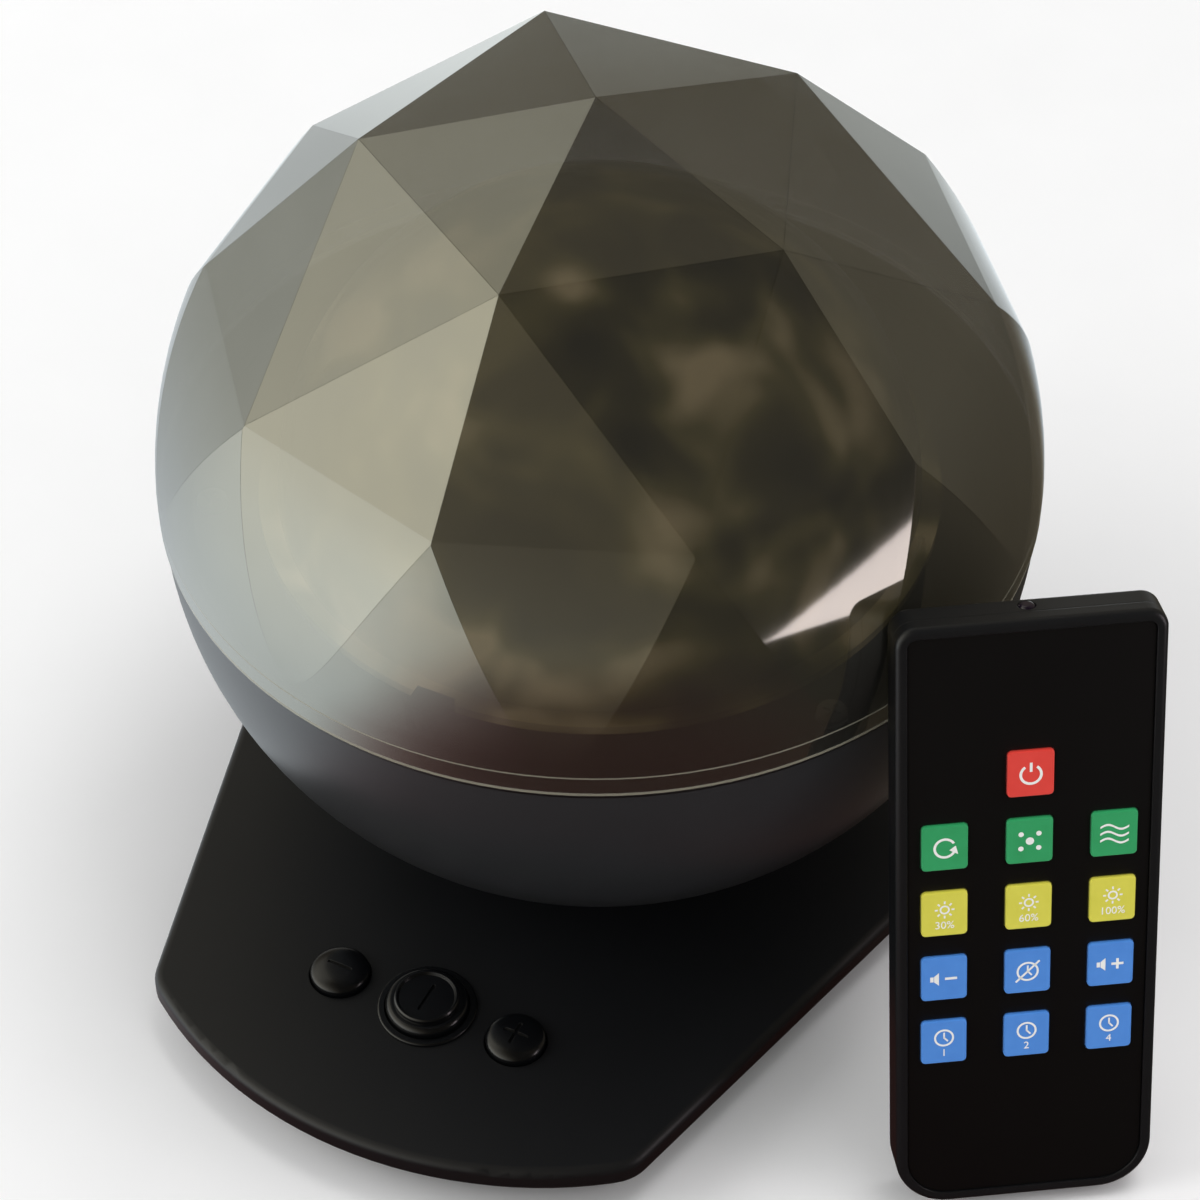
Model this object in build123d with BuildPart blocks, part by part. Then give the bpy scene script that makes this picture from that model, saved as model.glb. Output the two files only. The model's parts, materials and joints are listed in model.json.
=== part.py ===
from build123d import *
import os
from math import acos, atan2, cos, degrees, radians, sin, sqrt

os.makedirs("parts", exist_ok=True)

# Aurora night light projector with its remote control, in millimetres.
# The origin is on the ball's upright axis, on the surface that the base stands on.
# +Z is up, and the buttons at the front of the base look towards -Y.

standing = (Align.CENTER, Align.CENTER, Align.MIN)
hanging = (Align.CENTER, Align.CENTER, Align.MAX)

# Base: a lower cover on rubber feet, an upper cover, and the flat that holds the sockets
foot_stand = 1.0
foot_depth = 1.0
base_lower_height = 6.5
base_upper_height = 3.5
base_wall = 2.2
base_floor = 2.0
base_roof = 2.0
base_rear_radius = 60.6
base_front_radius = 69.7
base_front_reach = 90.5
base_side_angle = 15.1
base_corner_radius = 7.0
base_slope_inset = 4.5
base_edge_radius = 1.4
socket_flat_setback = 3.6
socket_panel_width = 36.0
socket_panel_depth = 7.0
lip_width = 1.2
lip_height = 1.0
cover_fit = 0.15
boss_radius = 3.2
overrun = 1.0

# Feet under the lower cover
foot_strip_inner = 36.0
foot_strip_outer = 41.0
foot_strip_gap_angle = 70.0
front_foot_radius = 4.5
front_foot_x = 27.0
front_foot_setback = 34.5

# Ball: black bowl below, faceted cover above
facet_radius = 67.0
rim_swell = 1.3
bowl_swell = 0.9
bowl_wall = 2.5
bowl_floor = 2.5
bowl_foot_radius = 27.0
bowl_drop = 4.7
facet_side_count = 5
ring_one_polar = 30.74
ring_two_polar = 61.0
dome_turn = 3.0
dome_wall = 2.6
fan_swell = 2.2
fan_spare = 0.1
dome_band_height = 3.7
dome_skirt_wall = 1.8
dome_skirt_fit = 0.3
seam_gap = 0.4

# Bayonet between the dome's skirt and the bowl: the dome turns to let go
lug_count = 3
lug_first_angle = 60.0
lug_span_angle = 8.0
lug_rise = 0.9
lug_height = 1.2
lug_lift = 0.8
lug_fit = 0.15
unlock_angle = 12.0

# Ledge inside the bowl, and the opening and bosses in its floor
ledge_drop = 5.3
ledge_width = 7.0
ledge_thickness = 2.0
deck_boss_radius = 3.0
deck_boss_height = 10.0
deck_boss_inset = 5.2
deck_screw_count = 3
bowl_hole_radius = 17.0
bowl_boss_height = 5.5
bowl_boss_offset = 4.6
bowl_boss_radius = 2.8
bowl_screw_count = 4

# Lamp deck: a flange on the ledge with a round well for the lights
deck_thickness = 2.0
deck_fit = 0.3
well_radius = 36.0
well_wall = 1.8
well_depth = 20.0
well_floor = 2.0

# Clear lens dome over the well
lens_screw_gap = 4.9
lens_wall = 1.6
lens_flange_width = 3.0
lens_flange_thickness = 1.5

# Lights on the floor of the well
spreader_thickness = 2.0
spreader_fit = 1.5
board_thickness = 1.2
light_count = 6
light_circle_radius = 20.0
chip_width = 5.0
chip_height = 1.2
collimator_foot_radius = 4.6
collimator_top_radius = 7.5
collimator_height = 8.0
collimator_recess_radius = 3.8
collimator_recess_depth = 1.6
centre_hole_radius = 3.5

# Gear motor, its shaft and the rippled disc that it turns
motor_radius = 7.5
motor_length = 16.0
motor_flange_length = 26.0
motor_flange_width = 9.0
motor_flange_thickness = 2.0
motor_screw_reach = 10.0
shaft_radius = 1.5
shaft_run_fit = 0.05
shaft_engagement = 6.0
disc_radius = 34.5
disc_thickness = 1.6
disc_clearance = 2.0
ripple_count = 6
ripple_height = 0.9
disc_hub_radius = 3.4
disc_hub_drop = 1.5

# Infrared receiver on the deck
receiver_width = 6.0
receiver_depth = 4.0
receiver_height = 5.0
receiver_gap = 1.5
receiver_eye_radius = 1.8

# Screws, each with a round head and a cross recess
cover_screw_head_radius = 2.3
cover_screw_head_height = 1.4
cover_screw_shank_radius = 1.2
cover_screw_grip = 4.5
small_screw_head_radius = 1.7
small_screw_head_height = 1.0
small_screw_shank_radius = 0.8
screw_hole_fit = 0.1
recess_width = 0.5
recess_depth_share = 0.5
recess_length_share = 1.3
board_screw_grip = 2.0
board_screw_end_gap = 0.5
front_screw_setback = 22.5
front_screw_side_inset = 11.0
middle_screw_side_inset = 11.4
middle_screw_y = -22.0
rear_screw_inset = 13.4
rear_screw_angle = 36.4

# Buttons at the front of the base
button_row_setback = 27.5
button_pitch = 15.5
side_button_radius = 4.7
side_button_rise = 2.3
side_button_shoulder = 0.8
power_button_radius = 6.5
power_button_shoulder = 1.1
power_button_round = 1.0
power_crown_radius = 5.1
power_crown_rise = 3.0
power_crown_rim = 0.7
power_crown_bevel = 0.23
power_crown_dish = 0.45
power_collar_width = 1.1
power_collar_rise = 0.6
power_collar_wall = 0.4
button_fit = 0.25
button_flange_width = 0.8
button_flange_thickness = 1.0
button_flange_gap = 0.2
button_nib_radius = 1.5
button_nib_length = 0.4
mark_length = 4.2
mark_width = 0.55
mark_depth = 0.4
power_mark_length = 5.4

# Button board with its switches
board_rest = 0.6
button_board_length = 46.0
button_board_width = 16.0
button_rest_x = 20.0
button_screw_x = 7.75
button_screw_y = 5.4
switch_width = 6.0
switch_height = 1.0
switch_dome_radius = 1.75
switch_dome_height = 0.4

# Main board, its parts and the two sockets
main_board_length = 48.0
main_board_front = 23.5
main_screw_x = 20.0
main_screw_setback = 3.5
main_rest_setback = 3.0
controller_size = 7.0
controller_height = 1.0
controller_x = -8.0
capacitor_radius = 2.5
capacitor_height = 3.6
capacitor_x = 12.0
capacitor_pitch = 7.0
socket_length = 13.0
socket_body_width = 6.5
socket_body_height = 5.6
socket_nose_radius = 2.6
socket_x = 12.0
socket_bore_radius = 1.8
inlet_pin_radius = 0.65
inlet_depth = 9.0
socket_hole_fit = 0.1

# Speaker that fires down through the floor of the base
speaker_radius = 20.0
speaker_flange_width = 3.0
speaker_flange_thickness = 1.5
speaker_cone_height = 7.0
speaker_neck_radius = 13.5
speaker_sheet = 0.8
speaker_cap_radius = 6.0
speaker_cap_drop = 3.5
magnet_radius = 12.5
magnet_height = 7.0
sound_hole_radius = 1.2
sound_ring_count = 3
sound_hole_pitch = 4.0
sound_holes_per_ring = 6

# Remote control, leaning against the ball
remote_width = 39.0
remote_length = 99.0
remote_thickness = 7.0
remote_back_height = 4.2
remote_wall = 1.2
remote_back_floor = 1.0
remote_top_corner = 3.0
remote_foot_corner = 8.0
remote_edge_radius = 0.9
remote_rim_width = 1.7
remote_face_thickness = 0.7
remote_face_drop = 0.3
remote_face_fit = 0.1
remote_ledge_width = 1.0
remote_ledge_thickness = 0.6
remote_lean = 72.0
remote_face_azimuth = -58.0
remote_offset_share = 0.52
remote_gap = 0.4

# Keys of the remote control, in rows counted from the lowest
key_width = 6.8
key_length = 7.5
key_corner = 0.7
key_rise = 0.5
key_edge = 0.25
key_fit = 0.15
key_flange_width = 0.5
key_flange_thickness = 0.4
key_flange_gap = 0.1
key_pitch_across = 12.4
key_pitch_up = 11.2
lowest_key_height = 29.5

# Inside of the remote control
remote_board_thickness = 1.0
remote_board_fit = 0.3
remote_post_radius = 1.4
contact_dome_radius = 2.2
contact_dome_height = 0.25
coin_radius = 10.0
coin_thickness = 2.5
coin_centre = 48.0
coin_fit = 0.3
door_margin = 1.2
door_width = 23.0
door_length = 27.0
door_corner = 3.0
door_fit = 0.1
contact_strip_width = 3.0
contact_strip_length = 12.0
contact_strip_pitch = 8.0
contact_strip_thickness = 0.2
remote_lamp_radius = 1.25
remote_lamp_length = 5.0
remote_lamp_rise = 0.3
remote_lamp_height = 2.4
remote_lamp_fit = 0.05
remote_post_inset = 3.2
door_bar_width = 4.5
door_bar_height = 2.2
door_bar_seat = 1.5
door_screw_grip = 1.4

# Places and heights that follow from the sizes
socket_flat_reach = base_rear_radius - socket_flat_setback
button_row_y = base_front_reach - button_row_setback
base_bottom = foot_stand
parting = base_bottom + base_lower_height
plate = parting + base_upper_height
inner_floor = base_bottom + base_floor
inner_roof = plate - base_roof
board_bottom = inner_floor + board_rest
board_top = board_bottom + board_thickness
bowl_radius = facet_radius + bowl_swell
rim_radius = facet_radius + rim_swell
bowl_centre = plate + sqrt(bowl_radius**2 - bowl_foot_radius**2)
ball_centre = bowl_centre + bowl_drop
dome_bottom = bowl_centre + seam_gap
dome_band_top = dome_bottom + dome_band_height
ledge_top = bowl_centre - ledge_drop
deck_top = ledge_top + deck_thickness
well_bottom = ledge_top - well_depth
well_seat = well_bottom + well_floor
bowl_inner = bowl_radius - bowl_wall
deck_radius = sqrt(bowl_inner**2 - ledge_drop**2) - deck_fit
deck_screw_radius = bowl_inner - deck_boss_inset
lens_radius = deck_screw_radius - cover_screw_head_radius - lens_screw_gap - lens_flange_width
bowl_screw_radius = bowl_hole_radius + bowl_boss_offset
light_board_bottom = well_seat + spreader_thickness
light_board_top = light_board_bottom + board_thickness
disc_bottom = light_board_top + collimator_height + disc_clearance
disc_top = disc_bottom + disc_thickness
side_hole_radius = side_button_radius + button_fit
power_hole_radius = power_button_radius + button_fit
collar_neck_radius = power_hole_radius + power_collar_wall
deck_screw_angles = [90 + 360 * turn / deck_screw_count for turn in range(deck_screw_count)]


def beside_edge(y, inset):
    """Place at a depth along Y whose distance from the base's straight side is the inset."""
    side = radians(base_side_angle)
    return ((base_rear_radius - inset + y * sin(side)) / cos(side), y)


# Screws of the base: two at the front, two beside the ball and two behind it
rear_screw_place = Vector(base_rear_radius - rear_screw_inset, 0).rotate(Axis.Z, rear_screw_angle)
base_screw_places = (
    beside_edge(front_screw_setback - base_front_reach, front_screw_side_inset),
    beside_edge(middle_screw_y, middle_screw_side_inset),
    (rear_screw_place.X, rear_screw_place.Y),
)
base_screw_spots = [(side * x, y) for x, y in base_screw_places for side in (-1, 1)]


def screw_set(head_bottom, places, head_radius, head_height, shank_radius, shank_length, head_up=False):
    """Group of equal screws with cross recesses; the shanks point up unless the heads do."""
    lift = Plane.XY.offset(head_bottom)
    with BuildPart(lift) as group:
        with Locations(places):
            Cylinder(head_radius, head_height, align=standing)
        with Locations(places):
            if head_up:
                Cylinder(shank_radius, shank_length, align=hanging)
            else:
                Cylinder(shank_radius, shank_length + head_height, align=standing)
        recess_depth = head_height * recess_depth_share
        recess_length = head_radius * recess_length_share
        recess_bottom = head_height - recess_depth if head_up else 0
        with Locations([(x, y, recess_bottom) for x, y in places]):
            Box(recess_length, recess_width, recess_depth, align=standing, mode=Mode.SUBTRACT)
            Box(recess_width, recess_length, recess_depth, align=standing, mode=Mode.SUBTRACT)
    return group.part


def ring_sector(height, inner, outer, middle_angle, span):
    """Flat piece of a ring about the ball's axis, at a height."""
    start, end = radians(middle_angle - span / 2), radians(middle_angle + span / 2)
    with BuildSketch(Plane.XY.offset(height)) as sector:
        with BuildLine():
            CenterArc((0, 0), inner, middle_angle - span / 2, span)
            Line((inner * cos(end), inner * sin(end)), (outer * cos(end), outer * sin(end)))
            CenterArc((0, 0), outer, middle_angle - span / 2, span)
            Line((outer * cos(start), outer * sin(start)), (inner * cos(start), inner * sin(start)))
        make_face()
    return sector.sketch


def base_outline():
    """Outline of the base: round at the back, straight sides that close to a bowed front."""
    side = radians(base_side_angle)
    tangent = Vector(cos(side), -sin(side)) * base_rear_radius
    along = Vector(-sin(side), -cos(side))
    front_centre = Vector(0, base_front_radius - base_front_reach)
    slack = along.dot(tangent - front_centre)
    gap = (tangent - front_centre).length ** 2 - base_front_radius**2
    corner = tangent + along * (sqrt(slack**2 - gap) - slack)
    flat_x = sqrt(base_rear_radius**2 - socket_flat_reach**2)
    half_way = radians(45 - base_side_angle / 2)
    rear_mid = Vector(cos(half_way), sin(half_way)) * base_rear_radius
    corner_angle = degrees(atan2(corner.Y - front_centre.Y, corner.X))
    with BuildSketch() as outline:
        with BuildLine():
            CenterArc(front_centre, base_front_radius, -90, corner_angle + 90)
            Line(corner, tangent)
            ThreePointArc(tangent, rear_mid, (flat_x, socket_flat_reach))
            Line((flat_x, socket_flat_reach), (0, socket_flat_reach))
            mirror(about=Plane.YZ)
        make_face()
        right_corners = ((corner.X, corner.Y), (flat_x, socket_flat_reach))
        spots = [(way * x, y) for x, y in right_corners for way in (-1, 1)]
        fillet([outline.vertices().sort_by_distance(spot)[0] for spot in spots], base_corner_radius)
    return outline.sketch


outline = base_outline()


def outline_at(height, inset):
    """The base's outline at a height, drawn in by an inset."""
    with BuildSketch(Plane.XY.offset(height)) as level:
        add(outline)
        if inset:
            offset(amount=-inset, mode=Mode.REPLACE)
    return level.sketch


# Rubber strip under the base: a ring that is open at the back, where the sound leaves
foot_strip_profile = ring_sector(base_bottom, foot_strip_inner, foot_strip_outer, -90,
                                 360 - foot_strip_gap_angle)
with BuildPart() as foot_strip:
    extrude(foot_strip_profile, amount=foot_depth)
    extrude(foot_strip_profile, amount=-foot_stand)
foot_strip.part.label = "foot_strip"

front_foot_y = base_front_reach - front_foot_setback
front_foot_spots = [(side * front_foot_x, -front_foot_y) for side in (-1, 1)]
with BuildPart() as front_feet:
    with Locations(front_foot_spots):
        Cylinder(front_foot_radius, foot_stand + foot_depth, align=standing)
front_feet.part.label = "front_feet"

# Places of the boards' rests and screws
main_board_back = socket_flat_reach - base_wall - socket_length
button_rest_spots = [(side * button_rest_x, -button_row_y) for side in (-1, 1)]
main_rest_spots = [(0, main_board_front + main_rest_setback)]
button_board_screw_spots = [(side * button_screw_x, -button_row_y - button_screw_y) for side in (-1, 1)]
main_board_screw_spots = [(side * main_screw_x, main_board_back - main_screw_setback) for side in (-1, 1)]
board_screw_spots = button_board_screw_spots + main_board_screw_spots

# Lower cover of the base: sloping wall, flat panel behind, screw holes, rests and sound holes
wide_level = outline_at(parting, 0)
narrow_level = outline_at(base_bottom, base_slope_inset)
lower_pocket = outline_at(inner_floor, base_slope_inset + base_wall)
lip_outer = outline_at(parting, base_wall + cover_fit)
lip_inner = outline_at(parting, base_wall + cover_fit + lip_width)
with BuildPart() as base_bottom_cover:
    loft([narrow_level.face(), wide_level.face()], ruled=True)
    with Locations((0, socket_flat_reach, base_bottom)):
        Box(socket_panel_width, socket_panel_depth, base_lower_height,
            align=(Align.CENTER, Align.MAX, Align.MIN))
    extrude(lip_outer, amount=lip_height)
    extrude(lip_inner, amount=lip_height, mode=Mode.SUBTRACT)
    extrude(lower_pocket, amount=base_lower_height, mode=Mode.SUBTRACT)
    with Locations((0, socket_flat_reach - base_wall, inner_floor)):
        Box(socket_panel_width - 2 * base_wall, socket_panel_depth, base_lower_height,
            align=(Align.CENTER, Align.MAX, Align.MIN), mode=Mode.SUBTRACT)
    with Locations([(x, y, base_bottom) for x, y in base_screw_spots]):
        Cylinder(cover_screw_shank_radius + screw_hole_fit, base_floor, align=standing, mode=Mode.SUBTRACT)
        Cylinder(cover_screw_head_radius + screw_hole_fit, cover_screw_head_height, align=standing,
                 mode=Mode.SUBTRACT)
    # The lip stops where the sockets stand
    with Locations((0, socket_flat_reach - base_wall, parting)):
        Box(2 * socket_x + socket_body_width + 2 * button_fit, socket_panel_depth, lip_height,
            align=(Align.CENTER, Align.MAX, Align.MIN), mode=Mode.SUBTRACT)
    # Rests under the two boards, drilled where a screw holds the board
    with Locations([(x, y, inner_floor) for x, y in button_rest_spots + main_rest_spots + board_screw_spots]):
        Cylinder(small_screw_head_radius, board_rest, align=standing)
    with Locations([(x, y, board_bottom) for x, y in board_screw_spots]):
        Cylinder(small_screw_shank_radius + screw_hole_fit / 2, board_screw_grip, align=hanging,
                 mode=Mode.SUBTRACT)
    # Seats of the feet
    extrude(foot_strip_profile, amount=foot_depth, mode=Mode.SUBTRACT)
    with Locations([(x, y, base_bottom) for x, y in front_foot_spots]):
        Cylinder(front_foot_radius, foot_depth, align=standing, mode=Mode.SUBTRACT)
    # Holes that let the sound out
    with Locations((0, 0, base_bottom)):
        Cylinder(sound_hole_radius, base_floor, align=standing, mode=Mode.SUBTRACT)
        for ring in range(1, sound_ring_count + 1):
            with PolarLocations(ring * sound_hole_pitch, ring * sound_holes_per_ring):
                Cylinder(sound_hole_radius, base_floor, align=standing, mode=Mode.SUBTRACT)
base_bottom_cover.part.label = "base_bottom_cover"

# Upper cover of the base: a shallow tray turned over, with bosses for the screws
button_spots = [(-button_pitch, -button_row_y), (0, -button_row_y), (button_pitch, -button_row_y)]
bowl_screw_spots = [
    (bowl_screw_radius * cos(radians(45 + 360 * turn / bowl_screw_count)),
     bowl_screw_radius * sin(radians(45 + 360 * turn / bowl_screw_count)))
    for turn in range(bowl_screw_count)
]
upper_pocket = outline_at(parting, base_wall)
with BuildPart() as base_top_cover:
    extrude(wide_level, amount=base_upper_height)
    fillet(base_top_cover.edges().group_by(Axis.Z)[-1], base_edge_radius)
    extrude(upper_pocket, amount=inner_roof - parting, mode=Mode.SUBTRACT)
    with Locations([(x, y, inner_roof) for x, y in base_screw_spots]):
        Cylinder(boss_radius, inner_roof - inner_floor, align=hanging)
    with Locations([(x, y, inner_floor) for x, y in base_screw_spots]):
        Cylinder(cover_screw_shank_radius + screw_hole_fit / 2, cover_screw_grip, align=standing,
                 mode=Mode.SUBTRACT)
    with Locations((0, 0, inner_roof)):
        Cylinder(bowl_hole_radius, base_roof, align=standing, mode=Mode.SUBTRACT)
    with Locations([(x, y, inner_roof) for x, y in bowl_screw_spots]):
        Cylinder(cover_screw_shank_radius + screw_hole_fit, base_roof, align=standing, mode=Mode.SUBTRACT)
    with Locations((button_spots[0] + (inner_roof,)), (button_spots[2] + (inner_roof,))):
        Cylinder(side_hole_radius, base_roof, align=standing, mode=Mode.SUBTRACT)
    with Locations(button_spots[1] + (inner_roof,)):
        Cylinder(collar_neck_radius + screw_hole_fit / 2, base_roof, align=standing, mode=Mode.SUBTRACT)

# The sockets' noses pass through the parting of the two covers
socket_axis = inner_floor + socket_body_height / 2
nose_plane = Plane(origin=(0, socket_flat_reach, socket_axis), x_dir=(1, 0, 0), z_dir=(0, 1, 0))
with BuildPart(nose_plane) as nose_tool:
    with Locations((-socket_x, 0), (socket_x, 0)):
        Cylinder(socket_nose_radius + socket_hole_fit, base_wall + overrun, align=hanging)
with BuildPart() as finished_bottom:
    add(base_bottom_cover.part)
    add(nose_tool.part, mode=Mode.SUBTRACT)
with BuildPart() as finished_top:
    add(base_top_cover.part)
    add(nose_tool.part, mode=Mode.SUBTRACT)
finished_bottom.part.label = "base_bottom_cover"
finished_top.part.label = "base_top_cover"
export_step(finished_bottom.part, "parts/base_bottom_cover.step")
export_step(finished_top.part, "parts/base_top_cover.step")
export_step(foot_strip.part, "parts/foot_strip.step")
export_step(front_feet.part, "parts/front_feet.step")

base_screws = screw_set(base_bottom, base_screw_spots, cover_screw_head_radius, cover_screw_head_height,
                        cover_screw_shank_radius, cover_screw_grip)
base_screws.label = "base_screws"
export_step(base_screws, "parts/base_screws.step")
bowl_screws = screw_set(inner_roof - cover_screw_head_height, bowl_screw_spots, cover_screw_head_radius,
                        cover_screw_head_height, cover_screw_shank_radius,
                        base_roof + bowl_floor + cover_screw_grip)
bowl_screws.label = "bowl_screws"
export_step(bowl_screws, "parts/bowl_screws.step")

# Bowl: lower half of the ball, cut flat where it stands on the base
foot_angle = degrees(acos(bowl_foot_radius / bowl_radius))
floor_top = plate + bowl_floor
floor_inner = sqrt(bowl_inner**2 - (bowl_centre - floor_top)**2)
inner_angle = degrees(acos(floor_inner / bowl_inner))
deck_boss_spots = [
    (deck_screw_radius * cos(radians(angle)), deck_screw_radius * sin(radians(angle)))
    for angle in deck_screw_angles
]
skirt_outer = bowl_inner - dome_skirt_fit
lug_reach = skirt_outer + lug_rise
lug_bottom = deck_top + lug_lift
lug_play = degrees(lug_fit / lug_reach)
lug_angles = [lug_first_angle + 360 * turn / lug_count for turn in range(lug_count)]
groove_inner = skirt_outer - dome_skirt_wall
groove_outer = lug_reach + lug_fit
groove_span = lug_span_angle + unlock_angle + 2 * lug_play
lug_grooves = [
    ring_sector(lug_bottom - lug_fit, groove_inner, groove_outer, angle + unlock_angle / 2, groove_span)
    for angle in lug_angles
]
lug_slots = [
    ring_sector(lug_bottom - lug_fit, groove_inner, groove_outer, angle + unlock_angle,
                lug_span_angle + 2 * lug_play)
    for angle in lug_angles
]
lugs = [
    ring_sector(lug_bottom, skirt_outer - dome_skirt_wall / 2, lug_reach, angle, lug_span_angle)
    for angle in lug_angles
]
with BuildPart() as bowl:
    with BuildSketch(Plane.XZ):
        with BuildLine():
            CenterArc((0, bowl_centre), bowl_radius, -foot_angle, foot_angle)
            Line((bowl_foot_radius, plate), (bowl_hole_radius, plate))
            Line((bowl_hole_radius, plate), (bowl_hole_radius, floor_top))
            Line((bowl_hole_radius, floor_top), (floor_inner, floor_top))
            CenterArc((0, bowl_centre), bowl_inner, -inner_angle, inner_angle)
            Line((bowl_inner, bowl_centre), (bowl_radius, bowl_centre))
        make_face()
    revolve(axis=Axis.Z)
    # Ledge that carries the deck
    with BuildSketch(Plane.XY.offset(ledge_top)):
        Circle(bowl_inner + bowl_wall / 2)
        Circle(bowl_inner - ledge_width, mode=Mode.SUBTRACT)
    extrude(amount=-ledge_thickness)
    with Locations([(x, y, ledge_top) for x, y in deck_boss_spots]):
        Cylinder(deck_boss_radius, deck_boss_height, align=hanging)
    with Locations([(x, y, ledge_top) for x, y in deck_boss_spots]):
        Cylinder(cover_screw_shank_radius + screw_hole_fit / 2, deck_boss_height, align=hanging,
                 mode=Mode.SUBTRACT)
    # Grooves of the bayonet: each lug turns along its groove and leaves by the slot at its end
    for groove in lug_grooves:
        extrude(groove, amount=lug_height + 2 * lug_fit, mode=Mode.SUBTRACT)
    for slot in lug_slots:
        extrude(slot, amount=bowl_centre - lug_bottom + lug_fit, mode=Mode.SUBTRACT)
    # Bosses that take the screws from the base
    with Locations([(x, y, floor_top) for x, y in bowl_screw_spots]):
        Cylinder(bowl_boss_radius, bowl_boss_height, align=standing)
    with Locations([(x, y, plate) for x, y in bowl_screw_spots]):
        Cylinder(cover_screw_shank_radius + screw_hole_fit / 2, bowl_floor + bowl_boss_height, align=standing,
                 mode=Mode.SUBTRACT)
bowl.part.label = "bowl"
export_step(bowl.part, "parts/bowl.step")


def faceted_form(corner_radius, rim, bottom):
    """Solid under the dome's surface: three rings of flat facets, and under them a turned foot with one
    bowed panel per side, which leaves a fan under each corner."""
    turn = dome_turn - 90
    step = 360 / facet_side_count
    half_step = step / 2
    corner_count = 2 * facet_side_count

    def corner(polar, azimuth):
        flat = corner_radius * sin(radians(polar))
        return Vector(flat * cos(radians(azimuth)), flat * sin(radians(azimuth)),
                      ball_centre + corner_radius * cos(radians(polar)))

    pole = corner(0, 0)
    upper = [corner(ring_one_polar, turn + step * side) for side in range(facet_side_count)]
    lower = [corner(ring_two_polar, turn + half_step * side) for side in range(corner_count)]
    triangles = []
    for side in range(facet_side_count):
        here = upper[side]
        after = upper[(side + 1) % facet_side_count]
        below = lower[2 * side]
        between = lower[2 * side + 1]
        below_after = lower[(2 * side + 2) % corner_count]
        triangles += [(pole, here, after), (here, below, between), (here, between, after),
                      (after, between, below_after)]
    faces = [Face(Wire.make_polygon(points, close=True)) for points in triangles]
    faces.append(Face(Wire.make_polygon(lower, close=True)))
    ring_reach = corner_radius * sin(radians(ring_two_polar))
    side_reach = ring_reach * cos(radians(half_step / 2))
    fan_top = ring_reach + fan_spare
    fan_middle = (ring_reach + rim) / 2 + fan_swell
    panel_middle = fan_middle * cos(radians(half_step / 4))
    height = lower[0].Z
    middle_height = (height + dome_band_top) / 2
    with BuildPart() as form:
        with BuildSketch(Plane.XZ):
            with BuildLine():
                ThreePointArc((fan_top, height), (fan_middle, middle_height), (rim, dome_band_top))
                Polyline((rim, dome_band_top), (0, dome_band_top), (0, height), (fan_top, height))
            make_face()
        revolve(axis=Axis.Z)
        with BuildSketch(Plane.XZ) as beyond_panel:
            with BuildLine():
                ThreePointArc((side_reach, height), (panel_middle, middle_height),
                              (rim + fan_spare, dome_band_top))
                Polyline((rim + fan_spare, dome_band_top), (2 * rim, dome_band_top), (2 * rim, height),
                         (side_reach, height))
            make_face()
        cutter = extrude(beyond_panel.sketch, amount=rim, both=True, mode=Mode.PRIVATE)
        for side in range(corner_count):
            add(cutter.rotate(Axis.Z, turn + half_step * (side + 1 / 2)), mode=Mode.SUBTRACT)
        add(Solid(Shell(faces)))
        with Locations((0, 0, bottom)):
            Cylinder(rim, dome_band_top - bottom, align=standing)
    return form.part


# Dome cover: faceted smoky shell with a band at its foot and a skirt that stands on the deck
dome_outside = faceted_form(facet_radius, rim_radius, dome_bottom)
dome_inside = faceted_form(facet_radius - dome_wall, rim_radius - dome_wall, dome_bottom)
with BuildPart() as dome_cover:
    add(dome_outside)
    add(dome_inside, mode=Mode.SUBTRACT)
    with BuildSketch(Plane.XY.offset(deck_top)):
        Circle(skirt_outer)
        Circle(skirt_outer - dome_skirt_wall, mode=Mode.SUBTRACT)
    extrude(amount=dome_bottom - deck_top + dome_skirt_wall)
    with BuildSketch(Plane.XY.offset(dome_bottom)):
        Circle(rim_radius - dome_wall / 2)
        Circle(skirt_outer - dome_skirt_wall, mode=Mode.SUBTRACT)
    extrude(amount=dome_skirt_wall)
    for lug in lugs:
        extrude(lug, amount=lug_height)
dome_cover.part.label = "dome_cover"
export_step(dome_cover.part, "parts/dome_cover.step")

# Lamp deck: flange on the bowl's ledge, with the well hanging from it
with BuildPart() as lamp_deck:
    with BuildSketch(Plane.XY.offset(ledge_top)):
        Circle(deck_radius)
    extrude(amount=deck_thickness)
    with BuildSketch(Plane.XY.offset(ledge_top)):
        Circle(well_radius + well_wall)
    extrude(amount=-well_depth)
    with BuildSketch(Plane.XY.offset(deck_top)):
        Circle(well_radius)
    extrude(amount=well_seat - deck_top, mode=Mode.SUBTRACT)
    with Locations((0, 0, well_bottom)):
        Cylinder(centre_hole_radius, well_floor, align=standing, mode=Mode.SUBTRACT)
    with Locations([(x, y, ledge_top) for x, y in deck_boss_spots]):
        Cylinder(cover_screw_shank_radius + screw_hole_fit, deck_thickness, align=standing,
                 mode=Mode.SUBTRACT)
    with Locations((-motor_screw_reach, 0, well_bottom), (motor_screw_reach, 0, well_bottom)):
        Cylinder(small_screw_shank_radius + screw_hole_fit, well_floor, align=standing, mode=Mode.SUBTRACT)
lamp_deck.part.label = "lamp_deck"
export_step(lamp_deck.part, "parts/lamp_deck.step")

deck_screws = screw_set(deck_top, deck_boss_spots, cover_screw_head_radius, cover_screw_head_height,
                        cover_screw_shank_radius, deck_thickness + cover_screw_grip, head_up=True)
deck_screws.label = "deck_screws"
export_step(deck_screws, "parts/deck_screws.step")

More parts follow.
